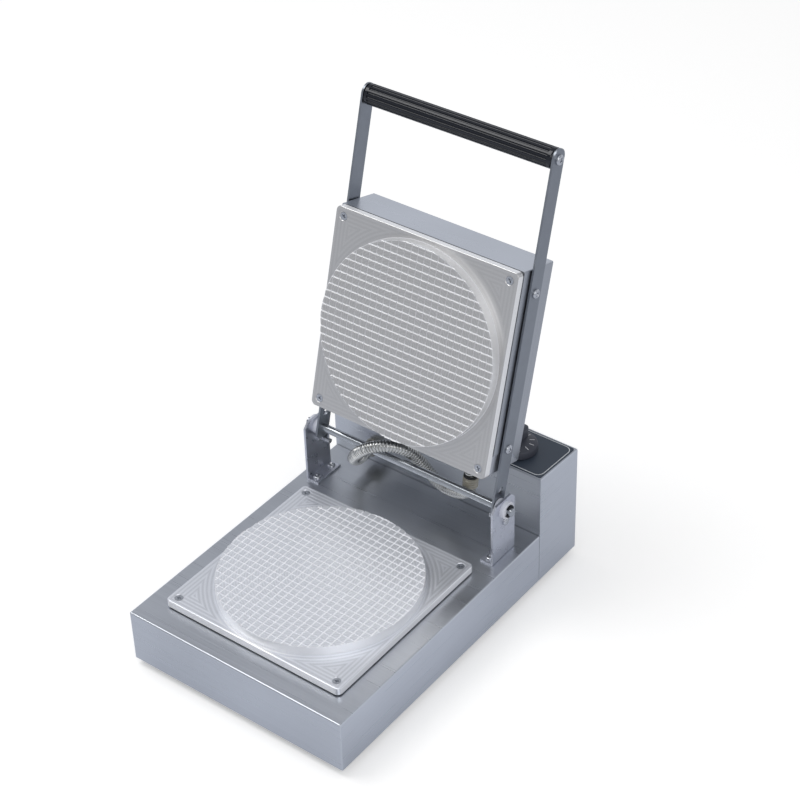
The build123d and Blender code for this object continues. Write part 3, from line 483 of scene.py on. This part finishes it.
def join_copies(shape, places):
    """Copies of one small shape at each place, as one bmesh; each place is a matrix."""
    whole = bmesh.new()
    mesh = bpy.data.meshes.new("copy")
    shape.to_mesh(mesh)
    shape.free()
    for place in places:
        before = len(whole.verts)
        whole.from_mesh(mesh)
        whole.verts.ensure_lookup_table()
        bmesh.ops.transform(whole, matrix=place, verts=whole.verts[before:])
    bpy.data.meshes.remove(mesh)
    return whole


def smooth(shape, angle=35.0):
    """Smooth shading, with the edges sharper than the angle kept crisp."""
    for face in shape.faces:
        face.smooth = True
    for edge in shape.edges:
        if len(edge.link_faces) == 2 and edge.calc_face_angle() > math.radians(angle):
            edge.smooth = False
    return shape


def turned(profile, steps=64):
    """A closed profile of (radius, height) points spun about the local Z axis."""
    shape = bmesh.new()
    verts = [shape.verts.new((r, 0.0, z)) for r, z in profile]
    edges = [shape.edges.new((a, b)) for a, b in zip(verts, verts[1:])]
    bmesh.ops.spin(shape, geom=verts + edges, cent=(0, 0, 0), axis=(0, 0, 1), angle=math.tau, steps=steps,
                   use_merge=True)
    bmesh.ops.remove_doubles(shape, verts=shape.verts, dist=1e-7)
    bmesh.ops.recalc_face_normals(shape, faces=shape.faces)
    return shape


def add_shape(whole, part, place):
    """Moves one bmesh into another at a place."""
    bmesh.ops.transform(part, matrix=place, verts=part.verts)
    mesh = bpy.data.meshes.new("part")
    part.to_mesh(mesh)
    part.free()
    whole.from_mesh(mesh)
    bpy.data.meshes.remove(mesh)


# Operators

class SheetSteel(bpy.types.Operator):
    """Finishes the folded and pressed steel parts"""

    bl_idname = "cooker.sheet_steel"
    bl_label = "Sheet steel"

    def execute(self, context):
        colours = context.scene.cooker_colours
        # The numbers after the roughness are painted light and shade: the casing's sides a little lighter, the
        # cover's sides darker, the liner's sides lighter and its downward faces darker
        dress(brushed_steel("Brushed stainless steel", colours.casing, 0.3, painted_side_light=1.09), "base_casing",
              "control_casing", "rear_panel")
        lid_turn = (math.radians(OPEN_ANGLE), 0.0, 0.0)
        dress(brushed_steel("Brushed stainless lid steel", colours.cover, 0.3, lid_turn, 0.8), "lid_cover")
        dress(brushed_steel("Liner steel with painted light and shade", colours.liner, 0.4, lid_turn, 1.25, 0.4), "lid_liner")
        dress(bright_metal("Cold-rolled bar steel", colours.bar, 0.34, 0.05, 120.0), "left_arm", "right_arm",
              "arm_spacers")
        dress(bright_metal("Pressed bracket steel", colours.bracket, 0.3, 0.05, 120.0), "left_bracket",
              "right_bracket")
        dress(bright_metal("Galvanised sheet steel", hex_colour("#8e9297"), 0.5, 0.1, 160.0), "bottom_plate",
              "lower_heater_clamp", "upper_heater_clamp")
        return {"FINISHED"}


class GridPlates(bpy.types.Operator):
    """Finishes the two milled aluminium grid plates"""

    bl_idname = "cooker.grid_plates"
    bl_label = "Grid plates"

    def execute(self, context):
        colours = context.scene.cooker_colours
        lower = in_frame(0, PLATE_CENTRE, LOWER_FACE)
        upper = lid_swing() @ in_frame(0, PLATE_CENTRE, UPPER_FACE)
        dress(milled_aluminium("Milled lower plate aluminium", colours.lower_face, colours.groove_highlight, lower,
                               (0.0, 0.0, 0.0), (0.5, 1.0), 0.12, (0.0, -0.9, 0.0)), "lower_plate")
        dress(milled_aluminium("Milled upper plate aluminium", colours.upper_face, colours.groove_highlight, upper,
                               (math.radians(OPEN_ANGLE), math.pi, 0.0), (1.0, 0.5), 0.05, (0.66, 0.0, 0.75)),
              "upper_plate")
        return {"FINISHED"}


class HeatParts(bpy.types.Operator):
    """Finishes the gaskets, heaters, insulation and terminal block"""

    bl_idname = "cooker.heat_parts"
    bl_label = "Heating parts"

    def execute(self, context):
        # Both gaskets are one woven glass; the upper one is painted lighter, as painted light that lifts the
        # shadow in the gap between the plate and the lid
        dress(moulded("Woven glass gasket", hex_colour("#5c5e61"), 0.85, 0.0012, 0.0002), "lower_gasket")
        dress(moulded("Woven glass gasket painted lighter", hex_colour("#c3c5c9"), 0.85, 0.0012, 0.0002), "upper_gasket")
        dress(moulded("Mica heater board", hex_colour("#8d7f68"), 0.5, 0.004), "lower_heater", "upper_heater")
        dress(moulded("Mineral wool", hex_colour("#c9c2a8"), 0.95, 0.001, 0.0005), "lower_insulation",
              "upper_insulation")
        dress(moulded("Urea terminal moulding", hex_colour("#d9d3c4"), 0.5), "terminal_block")
        dress(moulded("Black control moulding", hex_colour("#1d1e21"), 0.45), "timer_body", "thermostat_body",
              "cable_gland", "cable_gland_nut")
        return {"FINISHED"}


class Hinge(bpy.types.Operator):
    """Finishes the axle, bushes, clips, stops and nuts"""

    bl_idname = "cooker.hinge"
    bl_label = "Hinge"

    def execute(self, context):
        colours = context.scene.cooker_colours
        dress(bright_metal("Ground axle steel", colours.rod, 0.2, 0.02, 60.0, Metallic=0.9), "axle",
              "handle_rod", "timer_shaft", "thermostat_shaft")
        dress(moulded("Natural nylon", colours.bush, 0.4), "inner_bushes", "outer_bushes")
        dress(bright_metal("Black spring steel", hex_colour("#1a1c22"), 0.4), "axle_clips")
        dress(bright_metal("Zinc-plated nuts and bolts", colours.screws, 0.25), "stop_bolts", "stop_nuts",
              "arm_nuts", "lower_plate_nuts", "upper_plate_nuts", "foot_screws", "control_screws")
        dress(moulded("Foot rubber", colours.rubber, 0.8, 0.0008), "feet")
        return {"FINISHED"}


class Screws(bpy.types.Operator):
    """Makes the cross-recess screws that show"""

    bl_idname = "cooker.screws"
    bl_label = "Screws"

    def execute(self, context):
        sizes = context.scene.cooker_sizes
        zinc = bright_metal("Bright zinc screw", context.scene.cooker_colours.screws, 0.2, 0.08, 500.0)
        plain = bright_metal("Plain steel screw", hex_colour("#c0c3c8"), 0.3, 0.05, 200.0)
        corners = [(x, PLATE_CENTRE + y) for x in (-SCREW_SPREAD, SCREW_SPREAD)
                   for y in (-SCREW_SPREAD, SCREW_SPREAD)]
        radius = sizes.plate_screw
        flat = [(radius - 0.0004, 0.0), (0.0021, -radius + 0.0025)]
        lower = [shifted(x, y, LOWER_FACE - COUNTERSINK_DROP) @ Matrix.Rotation(0.4 + x + y, 4, "Z")
                 for x, y in corners]
        upper = [lid_swing() @ shifted(x, y, UPPER_FACE + COUNTERSINK_DROP) @ Matrix.Rotation(math.pi, 4, "Y")
                 @ Matrix.Rotation(0.9 + x * y, 4, "Z") for x, y in corners]
        for name, body, places, replaced in (("lower_plate_screw_heads", "base", lower, "lower_plate_screws"),
                                             ("upper_plate_screw_heads", "lid", upper, "upper_plate_screws")):
            screw = cross_head_screw(radius, flat, 0.0019, 0.0115)
            place_piece(name, smooth(join_copies(screw, places)), plain, body, [replaced])
        places = [shifted(side * BRACKET_SCREW_X, y, BRACKET_FOOT_TOP + 2.2) @ Matrix.Rotation(0.3 + y, 4, "Z")
                  for side in (-1, 1) for y in BRACKET_SCREW_DEPTHS]
        screw = cross_head_screw(sizes.bracket_screw, dome_profile(sizes.bracket_screw, 0.0018), 0.0019, 0.006)
        place_piece("bracket_screw_heads", smooth(join_copies(screw, places)), zinc, "base",
                    ["bracket_screws"])
        places = [outward_place(side, ARM_OUTER_FACE + 2.6, y) @ Matrix.Rotation(0.5 + y, 4, "Z")
                  for y in ARM_SCREW_DEPTHS for side in (1, -1)]
        screw = cross_head_screw(sizes.arm_screw, dome_profile(sizes.arm_screw, 0.0022), 0.0024, 0.0098)
        place_piece("arm_screw_heads", smooth(join_copies(screw, places)), zinc, "lid",
                    ["arm_screws"])
        places = [outward_place(side, ARM_OUTER_FACE + 3.0, HANDLE_DEPTH) @ Matrix.Rotation(0.35, 4, "Z")
                  for side in (1, -1)]
        screw = cross_head_screw(sizes.handle_screw, dome_profile(sizes.handle_screw, 0.0026), 0.0028, 0.0004)
        place_piece("handle_screw_heads", smooth(join_copies(screw, places)), zinc, "lid",
                    ["handle_screws"])
        return {"FINISHED"}


# The hose's route from the control box to the lid in the shared frame, and its sizes, all in metres
HOSE_ROUTE = ((-0.074, 0.1085, 0.082), (-0.074, 0.0965, 0.082), (-0.0735, 0.0847, 0.081),
              (-0.069, 0.0707, 0.0935), (-0.0505, 0.0547, 0.119), (-0.034, 0.0542, 0.134),
              (-0.0194, 0.0612, 0.1384), (-0.0074, 0.0712, 0.1342), (0.0003, 0.0807, 0.1215),
              (0.0082, 0.0862, 0.1065), (0.022, 0.0867, 0.095), (0.041, 0.0842, 0.0955),
              (0.0605, 0.0812, 0.105), (0.0635, 0.0805, 0.121), (0.0622, 0.0830, 0.1371),
              (0.0595, 0.0867, 0.1506))
PLAIN_ENDS = 0.0040
RIB_ROUNDING = 0.0002
COLLAR_FROM_END = 0.0295
KNURL_SHRINK = 0.945


def hose_line():
    """The points that the hose follows, read from a smooth spline through its route."""
    curve = bpy.data.curves.new("hose_route", "CURVE")
    curve.dimensions = "3D"
    curve.resolution_u = 24
    spline = curve.splines.new("NURBS")
    spline.points.add(len(HOSE_ROUTE) - 1)
    for point, place in zip(spline.points, HOSE_ROUTE):
        point.co = (*place, 1.0)
    spline.order_u = 3
    spline.use_endpoint_u = True
    holder = bpy.data.objects.new("hose_route", curve)
    bpy.context.scene.collection.objects.link(holder)
    mesh = bpy.data.meshes.new_from_object(holder)
    points = [vert.co.copy() for vert in mesh.vertices]
    bpy.data.objects.remove(holder)
    bpy.data.meshes.remove(mesh)
    bpy.data.curves.remove(curve)
    return points


def distances_along(points):
    """How far each point is from the first, along the line."""
    run = [0.0]
    for a, b in zip(points, points[1:]):
        run.append(run[-1] + (b - a).length)
    return run


def stations(points, distances):
    """The place and direction at each distance along a line of points."""
    run = distances_along(points)
    found = []
    i = 0
    for distance in distances:
        while i < len(points) - 2 and run[i + 1] < distance:
            i += 1
        share = (distance - run[i]) / (run[i + 1] - run[i])
        before = points[max(i - 1, 0)]
        after = points[min(i + 2, len(points) - 1)]
        found.append((points[i].lerp(points[i + 1], share), (after - before).normalized()))
    return found


class Hose(bpy.types.Operator):
    """Makes the ribbed steel hose that takes the lid's wiring over the hinge"""

    bl_idname = "cooker.hose"
    bl_label = "Ribbed hose"

    def execute(self, context):
        sizes = context.scene.cooker_sizes
        points = hose_line()
        length = distances_along(points)[-1]
        crest = sizes.hose_diameter / 2
        valley = crest - sizes.hose_valley
        shoulder = crest - RIB_ROUNDING
        ribs = int((length - PLAIN_ENDS) / sizes.hose_pitch)
        start = (length - ribs * sizes.hose_pitch) / 2
        rings = [(0.0, valley)]
        for i in range(ribs):
            for share, radius in ((0.1, valley), (0.2, shoulder), (0.36, crest), (0.64, crest),
                                  (0.8, shoulder), (0.9, valley)):
                rings.append((start + (i + share) * sizes.hose_pitch, radius))
        rings.append((length, valley))
        places = stations(points, [distance for distance, _ in rings])
        shape = bmesh.new()
        across = Vector((1.0, 0.0, 0.0))
        last = None
        for (centre, along), (_, radius) in zip(places, rings):
            across = (across - along * across.dot(along)).normalized()
            turn = Matrix((across, along.cross(across), along)).transposed().to_4x4()
            ring = bmesh.ops.create_circle(shape, segments=24, radius=radius,
                                           matrix=Matrix.Translation(centre) @ turn)["verts"]
            loop = edges_of(ring)
            if last is not None:
                bmesh.ops.bridge_loops(shape, edges=last + loop)
            else:
                bmesh.ops.contextual_create(shape, geom=loop)
            last = loop
        bmesh.ops.contextual_create(shape, geom=last)
        bmesh.ops.recalc_face_normals(shape, faces=shape.faces)
        # An even shine, so that each rib shows as one bright line beside a dark valley
        metal = bright_metal("Interlocked bright steel hose", context.scene.cooker_colours.hose, 0.2, 0.02,
                             60.0)
        mesh = bpy.data.meshes.new("ribbed_hose")
        smooth(shape, 50.0).to_mesh(mesh)
        shape.free()
        mesh.materials.append(metal)
        hose = bpy.data.objects.new("ribbed_hose", mesh)
        context.scene.collection.objects.link(hose)
        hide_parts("hose")
        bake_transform(hose)
        return {"FINISHED"}


class Fittings(bpy.types.Operator):
    """Makes the knurled fittings at the hose's ends, and the collar and washer on its leg at the lid"""

    bl_idname = "cooker.fittings"
    bl_label = "Hose fittings"

    def execute(self, context):
        metal = bright_metal("Nickel-plated brass fitting", hex_colour("#a5a39b"), 0.3, 0.05, 300.0)
        profile = in_metres(((4.6, -2.2), (7.2, -2.2), (7.2, 0.0), (8.6, 0.0), (8.6, 0.8), (7.6, 1.4),
                             (7.6, 1.8), (8.3, 2.3), (8.3, 7.2), (7.6, 8.0), (6.3, 8.0), (6.2, 7.0),
                             (4.6, 7.0), (4.6, -2.2)))
        lid_place = lid_swing() @ shifted(59.5, 223.0, 121.0) @ Matrix.Rotation(-math.pi / 2, 4, "X")
        box_place = shifted(-74.0, 301.0, 74.0) @ Matrix.Rotation(math.pi / 2, 4, "X")
        for name, place, body, replaced in (("lid_hose_ferrule", lid_place, "lid", "lid_hose_fitting"),
                                            ("box_hose_ferrule", box_place, "base", "box_hose_fitting")):
            ferrule = turned(profile, steps=FINE_STEPS)
            knurl = [vert for vert in ferrule.verts
                     if 0.0020 < vert.co.z < 0.0075 and vert.co.xy.length > 0.0082]
            for vert in knurl:
                step = round(math.atan2(vert.co.y, vert.co.x) / math.tau * FINE_STEPS)
                if step % 3 == 0:
                    vert.co.x *= KNURL_SHRINK
                    vert.co.y *= KNURL_SHRINK
            bmesh.ops.transform(ferrule, matrix=place, verts=ferrule.verts)
            place_piece(name, smooth(ferrule, 25.0), metal, body, [replaced])
        points = hose_line()
        centre, along = stations(points, [distances_along(points)[-1] - COLLAR_FROM_END])[0]
        place = Matrix.Translation(centre) @ along.to_track_quat("Z", "Y").to_matrix().to_4x4()
        collar = [(6.1, -5.5)]
        for i in range(4):
            low = 2.75 * i - 5.5
            collar += [(6.5, low), (7.4, low + 0.5), (7.4, low + 1.7), (6.5, low + 2.1)]
        collar += [(6.5, 5.5), (6.1, 5.5), (6.1, -5.5)]
        washer = [(6.1, 5.6), (7.0, 5.6), (7.0, 7.6), (6.1, 7.6), (6.1, 5.6)]
        cast = bright_metal("Cast zinc hose collar", hex_colour("#d2cdc0"), 0.35, 0.05, 300.0, Metallic=0.6)
        seal = moulded("Black sealing washer", hex_colour("#26272b"), 0.6)
        for name, outline, material in (("lid_hose_collar", collar, cast), ("lid_hose_washer", washer, seal)):
            shape = turned(in_metres(outline))
            bmesh.ops.transform(shape, matrix=place, verts=shape.verts)
            place_piece(name, smooth(shape, 25.0), material, "lid")
        return {"FINISHED"}


class Handle(bpy.types.Operator):
    """Finishes the fluted handle grip"""

    bl_idname = "cooker.handle"
    bl_label = "Handle grip"

    def execute(self, context):
        dress(moulded("Gloss black phenolic", context.scene.cooker_colours.grip, 0.14, 0.004, 0.000002),
              "handle_grip")
        return {"FINISHED"}


# The knob, in metres: its grip bar, and the marks painted on the bar and the skirt

GRIP_BAR = (0.0098, 0.0310, 0.0112)
GRIP_BAR_CENTRE = 0.0130
BAR_MARK = (0.0009, 0.0100, 0.0001)
BAR_MARK_PLACE = (0.0, -0.0092, 0.01865)
SKIRT_TICK = (0.0048, 0.0007, 0.00008)
TICK_RADIUS = 0.0150
NUMERAL_RADIUS = 0.0152
SKIRT_HEIGHT = 0.0080
SKIRT_SLOPE = math.atan(1.6 / 10.3)


def knob_shape():
    """A skirted knob with a rounded grip bar, its underside at the local origin."""
    knob = turned(in_metres(((3.2, 0.0), (20.0, 0.0), (20.5, 0.4), (20.2, 6.4), (19.9, 7.0), (19.3, 7.3),
                             (9.0, 8.9), (3.2, 8.9), (3.2, 0.0))), steps=FINE_STEPS)
    bar = box(*GRIP_BAR)
    upright = [edge for edge in bar.edges if abs((edge.verts[0].co - edge.verts[1].co).normalized().z) > 0.9]
    bmesh.ops.bevel(bar, geom=upright, offset=0.0046, segments=8, affect="EDGES", profile=0.5, material=-1)
    top = max(bar.faces, key=lambda face: face.calc_center_median().z)
    bmesh.ops.bevel(bar, geom=list(top.edges), offset=0.0012, segments=3, affect="EDGES", profile=0.5,
                    material=-1)
    add_shape(knob, bar, Matrix.Translation((0.0, 0.0, GRIP_BAR_CENTRE)))
    return knob


def on_skirt(degrees, radius):
    """A place on the knob's sloping skirt, its X axis pointing out and down the slope."""
    return (Matrix.Rotation(math.radians(degrees), 4, "Z") @ Matrix.Translation((radius, 0.0, SKIRT_HEIGHT))
            @ Matrix.Rotation(SKIRT_SLOPE, 4, "Y"))


class Knobs(bpy.types.Operator):
    """Makes the timer and thermostat knobs with the plain scales on their skirts"""

    bl_idname = "cooker.knobs"
    bl_label = "Knobs"

    def execute(self, context):
        black = moulded("Satin black phenolic", hex_colour("#3a3d47"), 0.38, 0.0005, 0.00002)
        white = moulded("White pointer paint", hex_colour("#d4d6da"), 0.5)
        sizes = context.scene.cooker_sizes
        for name, x, numbers in (("timer", CONTROL_X, ("0", "1", "2", "3", "4", "5")),
                                 ("thermostat", -CONTROL_X, ("0", "60", "120", "180", "240", "300"))):
            place = on_panel(x, CONTROL_DEPTH, KNOB_LIFT)
            knob = knob_shape()
            bmesh.ops.transform(knob, matrix=place, verts=knob.verts)
            place_piece(name + "_dial_knob", smooth(knob, 30.0), black, name, [name + "_knob"])
            mark = bmesh.new()
            add_shape(mark, box(*BAR_MARK), Matrix.Translation(BAR_MARK_PLACE))
            for i in range(12):
                add_shape(mark, box(*SKIRT_TICK), on_skirt(30 * i + 15, TICK_RADIUS))
            for i, words in enumerate(numbers):
                add_shape(mark, text_shape(words, sizes.numeral_height),
                          on_skirt(90 + 30 * i, NUMERAL_RADIUS) @ Matrix.Rotation(-math.pi / 2, 4, "Z"))
            bmesh.ops.transform(mark, matrix=place, verts=mark.verts)
            place_piece(name + "_scale", mark, white, name)
        return {"FINISHED"}


def text_shape(words, height):
    """Flat letters of a set height, centred on the local origin."""
    curve = bpy.data.curves.new("numeral", "FONT")
    curve.body = words
    curve.size = height * 1.4
    curve.align_x = "CENTER"
    curve.align_y = "CENTER"
    curve.extrude = 0.00003
    holder = bpy.data.objects.new("numeral", curve)
    bpy.context.scene.collection.objects.link(holder)
    mesh = bpy.data.meshes.new_from_object(holder)
    shape = bmesh.new()
    shape.from_mesh(mesh)
    bpy.data.objects.remove(holder)
    bpy.data.meshes.remove(mesh)
    bpy.data.curves.remove(curve)
    return shape


class Panel(bpy.types.Operator):
    """Finishes the panel overlay and the lamps, and prints the border and the dial pointers"""

    bl_idname = "cooker.panel"
    bl_label = "Control panel"

    def execute(self, context):
        colours = context.scene.cooker_colours
        sizes = context.scene.cooker_sizes
        dress(moulded("Matt polyester overlay", colours.overlay, 0.42, 0.0005, 0.00001), "panel_overlay")
        dress(moulded("Amber polycarbonate lens", hex_colour("#b5541c"), 0.18, 0.002, 0.00001,
                      Transmission_Weight=0.35), "pilot_lamps")
        ink = moulded("Silver screen ink", colours.printing, 0.45)
        border = bmesh.new()
        bmesh.ops.create_grid(border, x_segments=1, y_segments=1, size=0.5)
        width = BODY_WIDTH - 2 * BORDER_INSET
        depth = BOX_DEPTH - 2 * BORDER_INSET
        bmesh.ops.scale(border, verts=border.verts, vec=(width * MM, depth * MM, 1.0))
        bmesh.ops.bevel(border, geom=list(border.verts), offset=BORDER_CORNER * MM, segments=8,
                        affect="VERTICES", profile=0.5, material=-1)
        middle = border.faces[:]
        bmesh.ops.inset_region(border, faces=middle, thickness=sizes.border_width, use_boundary=True,
                               use_even_offset=True)
        bmesh.ops.delete(border, geom=middle, context="FACES")
        bmesh.ops.solidify(border, geom=border.faces[:], thickness=INK_THICKNESS * MM)
        bmesh.ops.recalc_face_normals(border, faces=border.faces)
        bmesh.ops.transform(border, matrix=on_panel(0.0, BOX_DEPTH / 2, OVERLAY_THICKNESS + 0.05),
                            verts=border.verts)
        place_piece("panel_border_line", border, ink, "base")
        marks = bmesh.new()
        for x in (CONTROL_X, -CONTROL_X):
            pointer = bmesh.new()
            bmesh.ops.create_cone(pointer, segments=3, radius1=0.0013, radius2=0.0013, depth=INK_THICKNESS * MM)
            add_shape(marks, pointer, on_panel(x, POINTER_DEPTH, OVERLAY_THICKNESS + 0.04))
        place_piece("dial_pointers", marks, ink, "base")
        return {"FINISHED"}


# The stage, in metres, with the camera's azimuth, elevation and roll in degrees

FLOOR_SIZE = 4.0
LAMP_TARGET = Vector((0.0, 0.0, 0.12))
CAMERA_PLACE = (0.9545, -1.1517, 1.3648)
CAMERA_ANGLES = (38.24, 37.04, -1.87)


class Stage(bpy.types.Operator):
    """Makes the floor, the soft lamps, the white surroundings and the camera"""

    bl_idname = "cooker.stage"
    bl_label = "Stage"

    def execute(self, context):
        scene = context.scene
        floor_shape = bmesh.new()
        bmesh.ops.create_grid(floor_shape, x_segments=1, y_segments=1, size=FLOOR_SIZE)
        mesh = bpy.data.meshes.new("floor")
        floor_shape.to_mesh(mesh)
        floor_shape.free()
        floor = bpy.data.objects.new("floor", mesh)
        scene.collection.objects.link(floor)
        material = start_material("Pale paper", Base_Color=scene.cooker_colours.floor, Roughness=0.9)
        tree = material.node_tree
        path = add_node(tree, "ShaderNodeLightPath")
        glow = add_node(tree, "ShaderNodeEmission", {
            "Color": hex_colour("#ffffff"),
            "Strength": math_node(tree, "MAXIMUM",
                                  math_node(tree, "MULTIPLY", path.outputs["Is Camera Ray"], 0.3),
                                  math_node(tree, "MULTIPLY", path.outputs["Is Glossy Ray"], 0.06))})
        both = add_node(tree, "ShaderNodeAddShader", {0: shader_of(material).outputs[0], 1: glow.outputs[0]})
        tree.links.new(both.outputs[0], tree.nodes["Material Output"].inputs["Surface"])
        cool = add_node(tree, "ShaderNodeMix", {0: path.outputs["Is Glossy Ray"], 6: scene.cooker_colours.floor,
                                                7: hex_colour("#cdd2dd")}, data_type="RGBA")
        tree.links.new(cool.outputs[2], shader_of(material).inputs["Base Color"])
        mesh.materials.append(material)
        world = bpy.data.worlds.new("Soft white studio")
        world.use_nodes = True
        scene.world = world
        tree = world.node_tree
        path = add_node(tree, "ShaderNodeLightPath")
        seen = math_node(tree, "MAXIMUM", path.outputs["Is Camera Ray"], path.outputs["Is Transmission Ray"])
        direction = add_node(tree, "ShaderNodeTexCoord").outputs["Generated"]
        way = add_node(tree, "ShaderNodeSeparateXYZ", {0: direction})
        backdrop = ramp(tree, way.outputs[2], 0.2, 0.7, 0.85, 0.42)
        ceiling = ramp(tree, way.outputs[2], 0.75, 0.95, 0.0, 0.45)
        room = ramp(tree, way.outputs[1], -0.5, 0.1, 0.62, 1.0)
        wall = math_node(tree, "ADD", math_node(tree, "MULTIPLY", backdrop, room), ceiling)
        strength = math_node(tree, "ADD", math_node(tree, "MULTIPLY", path.outputs["Is Glossy Ray"], wall),
                             seen)
        background = tree.nodes["Background"]
        cool = add_node(tree, "ShaderNodeMix", {0: path.outputs["Is Glossy Ray"], 6: hex_colour("#ffffff"),
                                                7: hex_colour("#eef2fb")}, data_type="RGBA")
        tree.links.new(cool.outputs[2], background.inputs["Color"])
        diffuse = math_node(tree, "MULTIPLY", path.outputs["Is Diffuse Ray"], 0.55)
        tree.links.new(math_node(tree, "MAXIMUM", strength, diffuse), background.inputs["Strength"])
        for name, place, size, power in (("key", (-1.1, -0.5, 2.5), 1.5, 22.5),
                                         ("fill", (1.6, -1.0, 1.7), 1.6, 11.5)):
            lamp = bpy.data.lights.new(name, "AREA")
            lamp.shape = "SQUARE"
            lamp.size = size
            lamp.energy = power
            holder = bpy.data.objects.new(name, lamp)
            holder.location = place
            holder.rotation_euler = (LAMP_TARGET - Vector(place)).to_track_quat("-Z", "Y").to_euler()
            scene.collection.objects.link(holder)
        camera = bpy.data.cameras.new("camera")
        camera.lens = 95.605
        camera.sensor_width = 36.0
        camera.clip_start = 0.05
        camera.clip_end = 20.0
        holder = bpy.data.objects.new("camera", camera)
        azimuth, elevation, roll = (math.radians(a) for a in CAMERA_ANGLES)
        back = Vector((math.sin(azimuth) * math.cos(elevation), -math.cos(azimuth) * math.cos(elevation),
                       math.sin(elevation)))
        right = Vector((math.cos(azimuth), math.sin(azimuth), 0.0))
        up = right.cross(-back)
        level = Matrix((right, up, back)).transposed()
        holder.matrix_world = Matrix.Translation(CAMERA_PLACE) @ level.to_4x4() @ Matrix.Rotation(roll, 4, "Z")
        scene.collection.objects.link(holder)
        scene.camera = holder
        scene.view_settings.view_transform = "Standard"
        return {"FINISHED"}


class CookerSidebar(bpy.types.Panel):
    """Lists the cooker's operators, colours and sizes"""

    bl_idname = "VIEW3D_PT_cooker"
    bl_label = "Waffle cooker"
    bl_space_type = "VIEW_3D"
    bl_region_type = "UI"
    bl_category = "Cooker"

    def draw(self, context):
        for operator in OPERATORS:
            self.layout.operator(operator.bl_idname)
        for group in (context.scene.cooker_colours, context.scene.cooker_sizes):
            for name in group.__annotations__:
                self.layout.prop(group, name)


OPERATORS = (Stage, Hose, Fittings, SheetSteel, GridPlates, HeatParts, Hinge, Screws, Handle, Knobs, Panel)
CLASSES = (CookerColours, CookerSizes, *OPERATORS, CookerSidebar)


def register():
    for cls in CLASSES:
        bpy.utils.register_class(cls)
    bpy.types.Scene.cooker_colours = bpy.props.PointerProperty(type=CookerColours)
    bpy.types.Scene.cooker_sizes = bpy.props.PointerProperty(type=CookerSizes)


def unregister():
    del bpy.types.Scene.cooker_sizes
    del bpy.types.Scene.cooker_colours
    for cls in reversed(CLASSES):
        bpy.utils.unregister_class(cls)


def main():
    register()
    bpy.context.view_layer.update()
    bpy.ops.cooker.stage()
    bpy.ops.cooker.hose()
    bpy.ops.cooker.fittings()
    bpy.ops.cooker.sheet_steel()
    bpy.ops.cooker.grid_plates()
    bpy.ops.cooker.heat_parts()
    bpy.ops.cooker.hinge()
    bpy.ops.cooker.screws()
    bpy.ops.cooker.handle()
    bpy.ops.cooker.knobs()
    bpy.ops.cooker.panel()


if __name__ == "__main__":
    main()
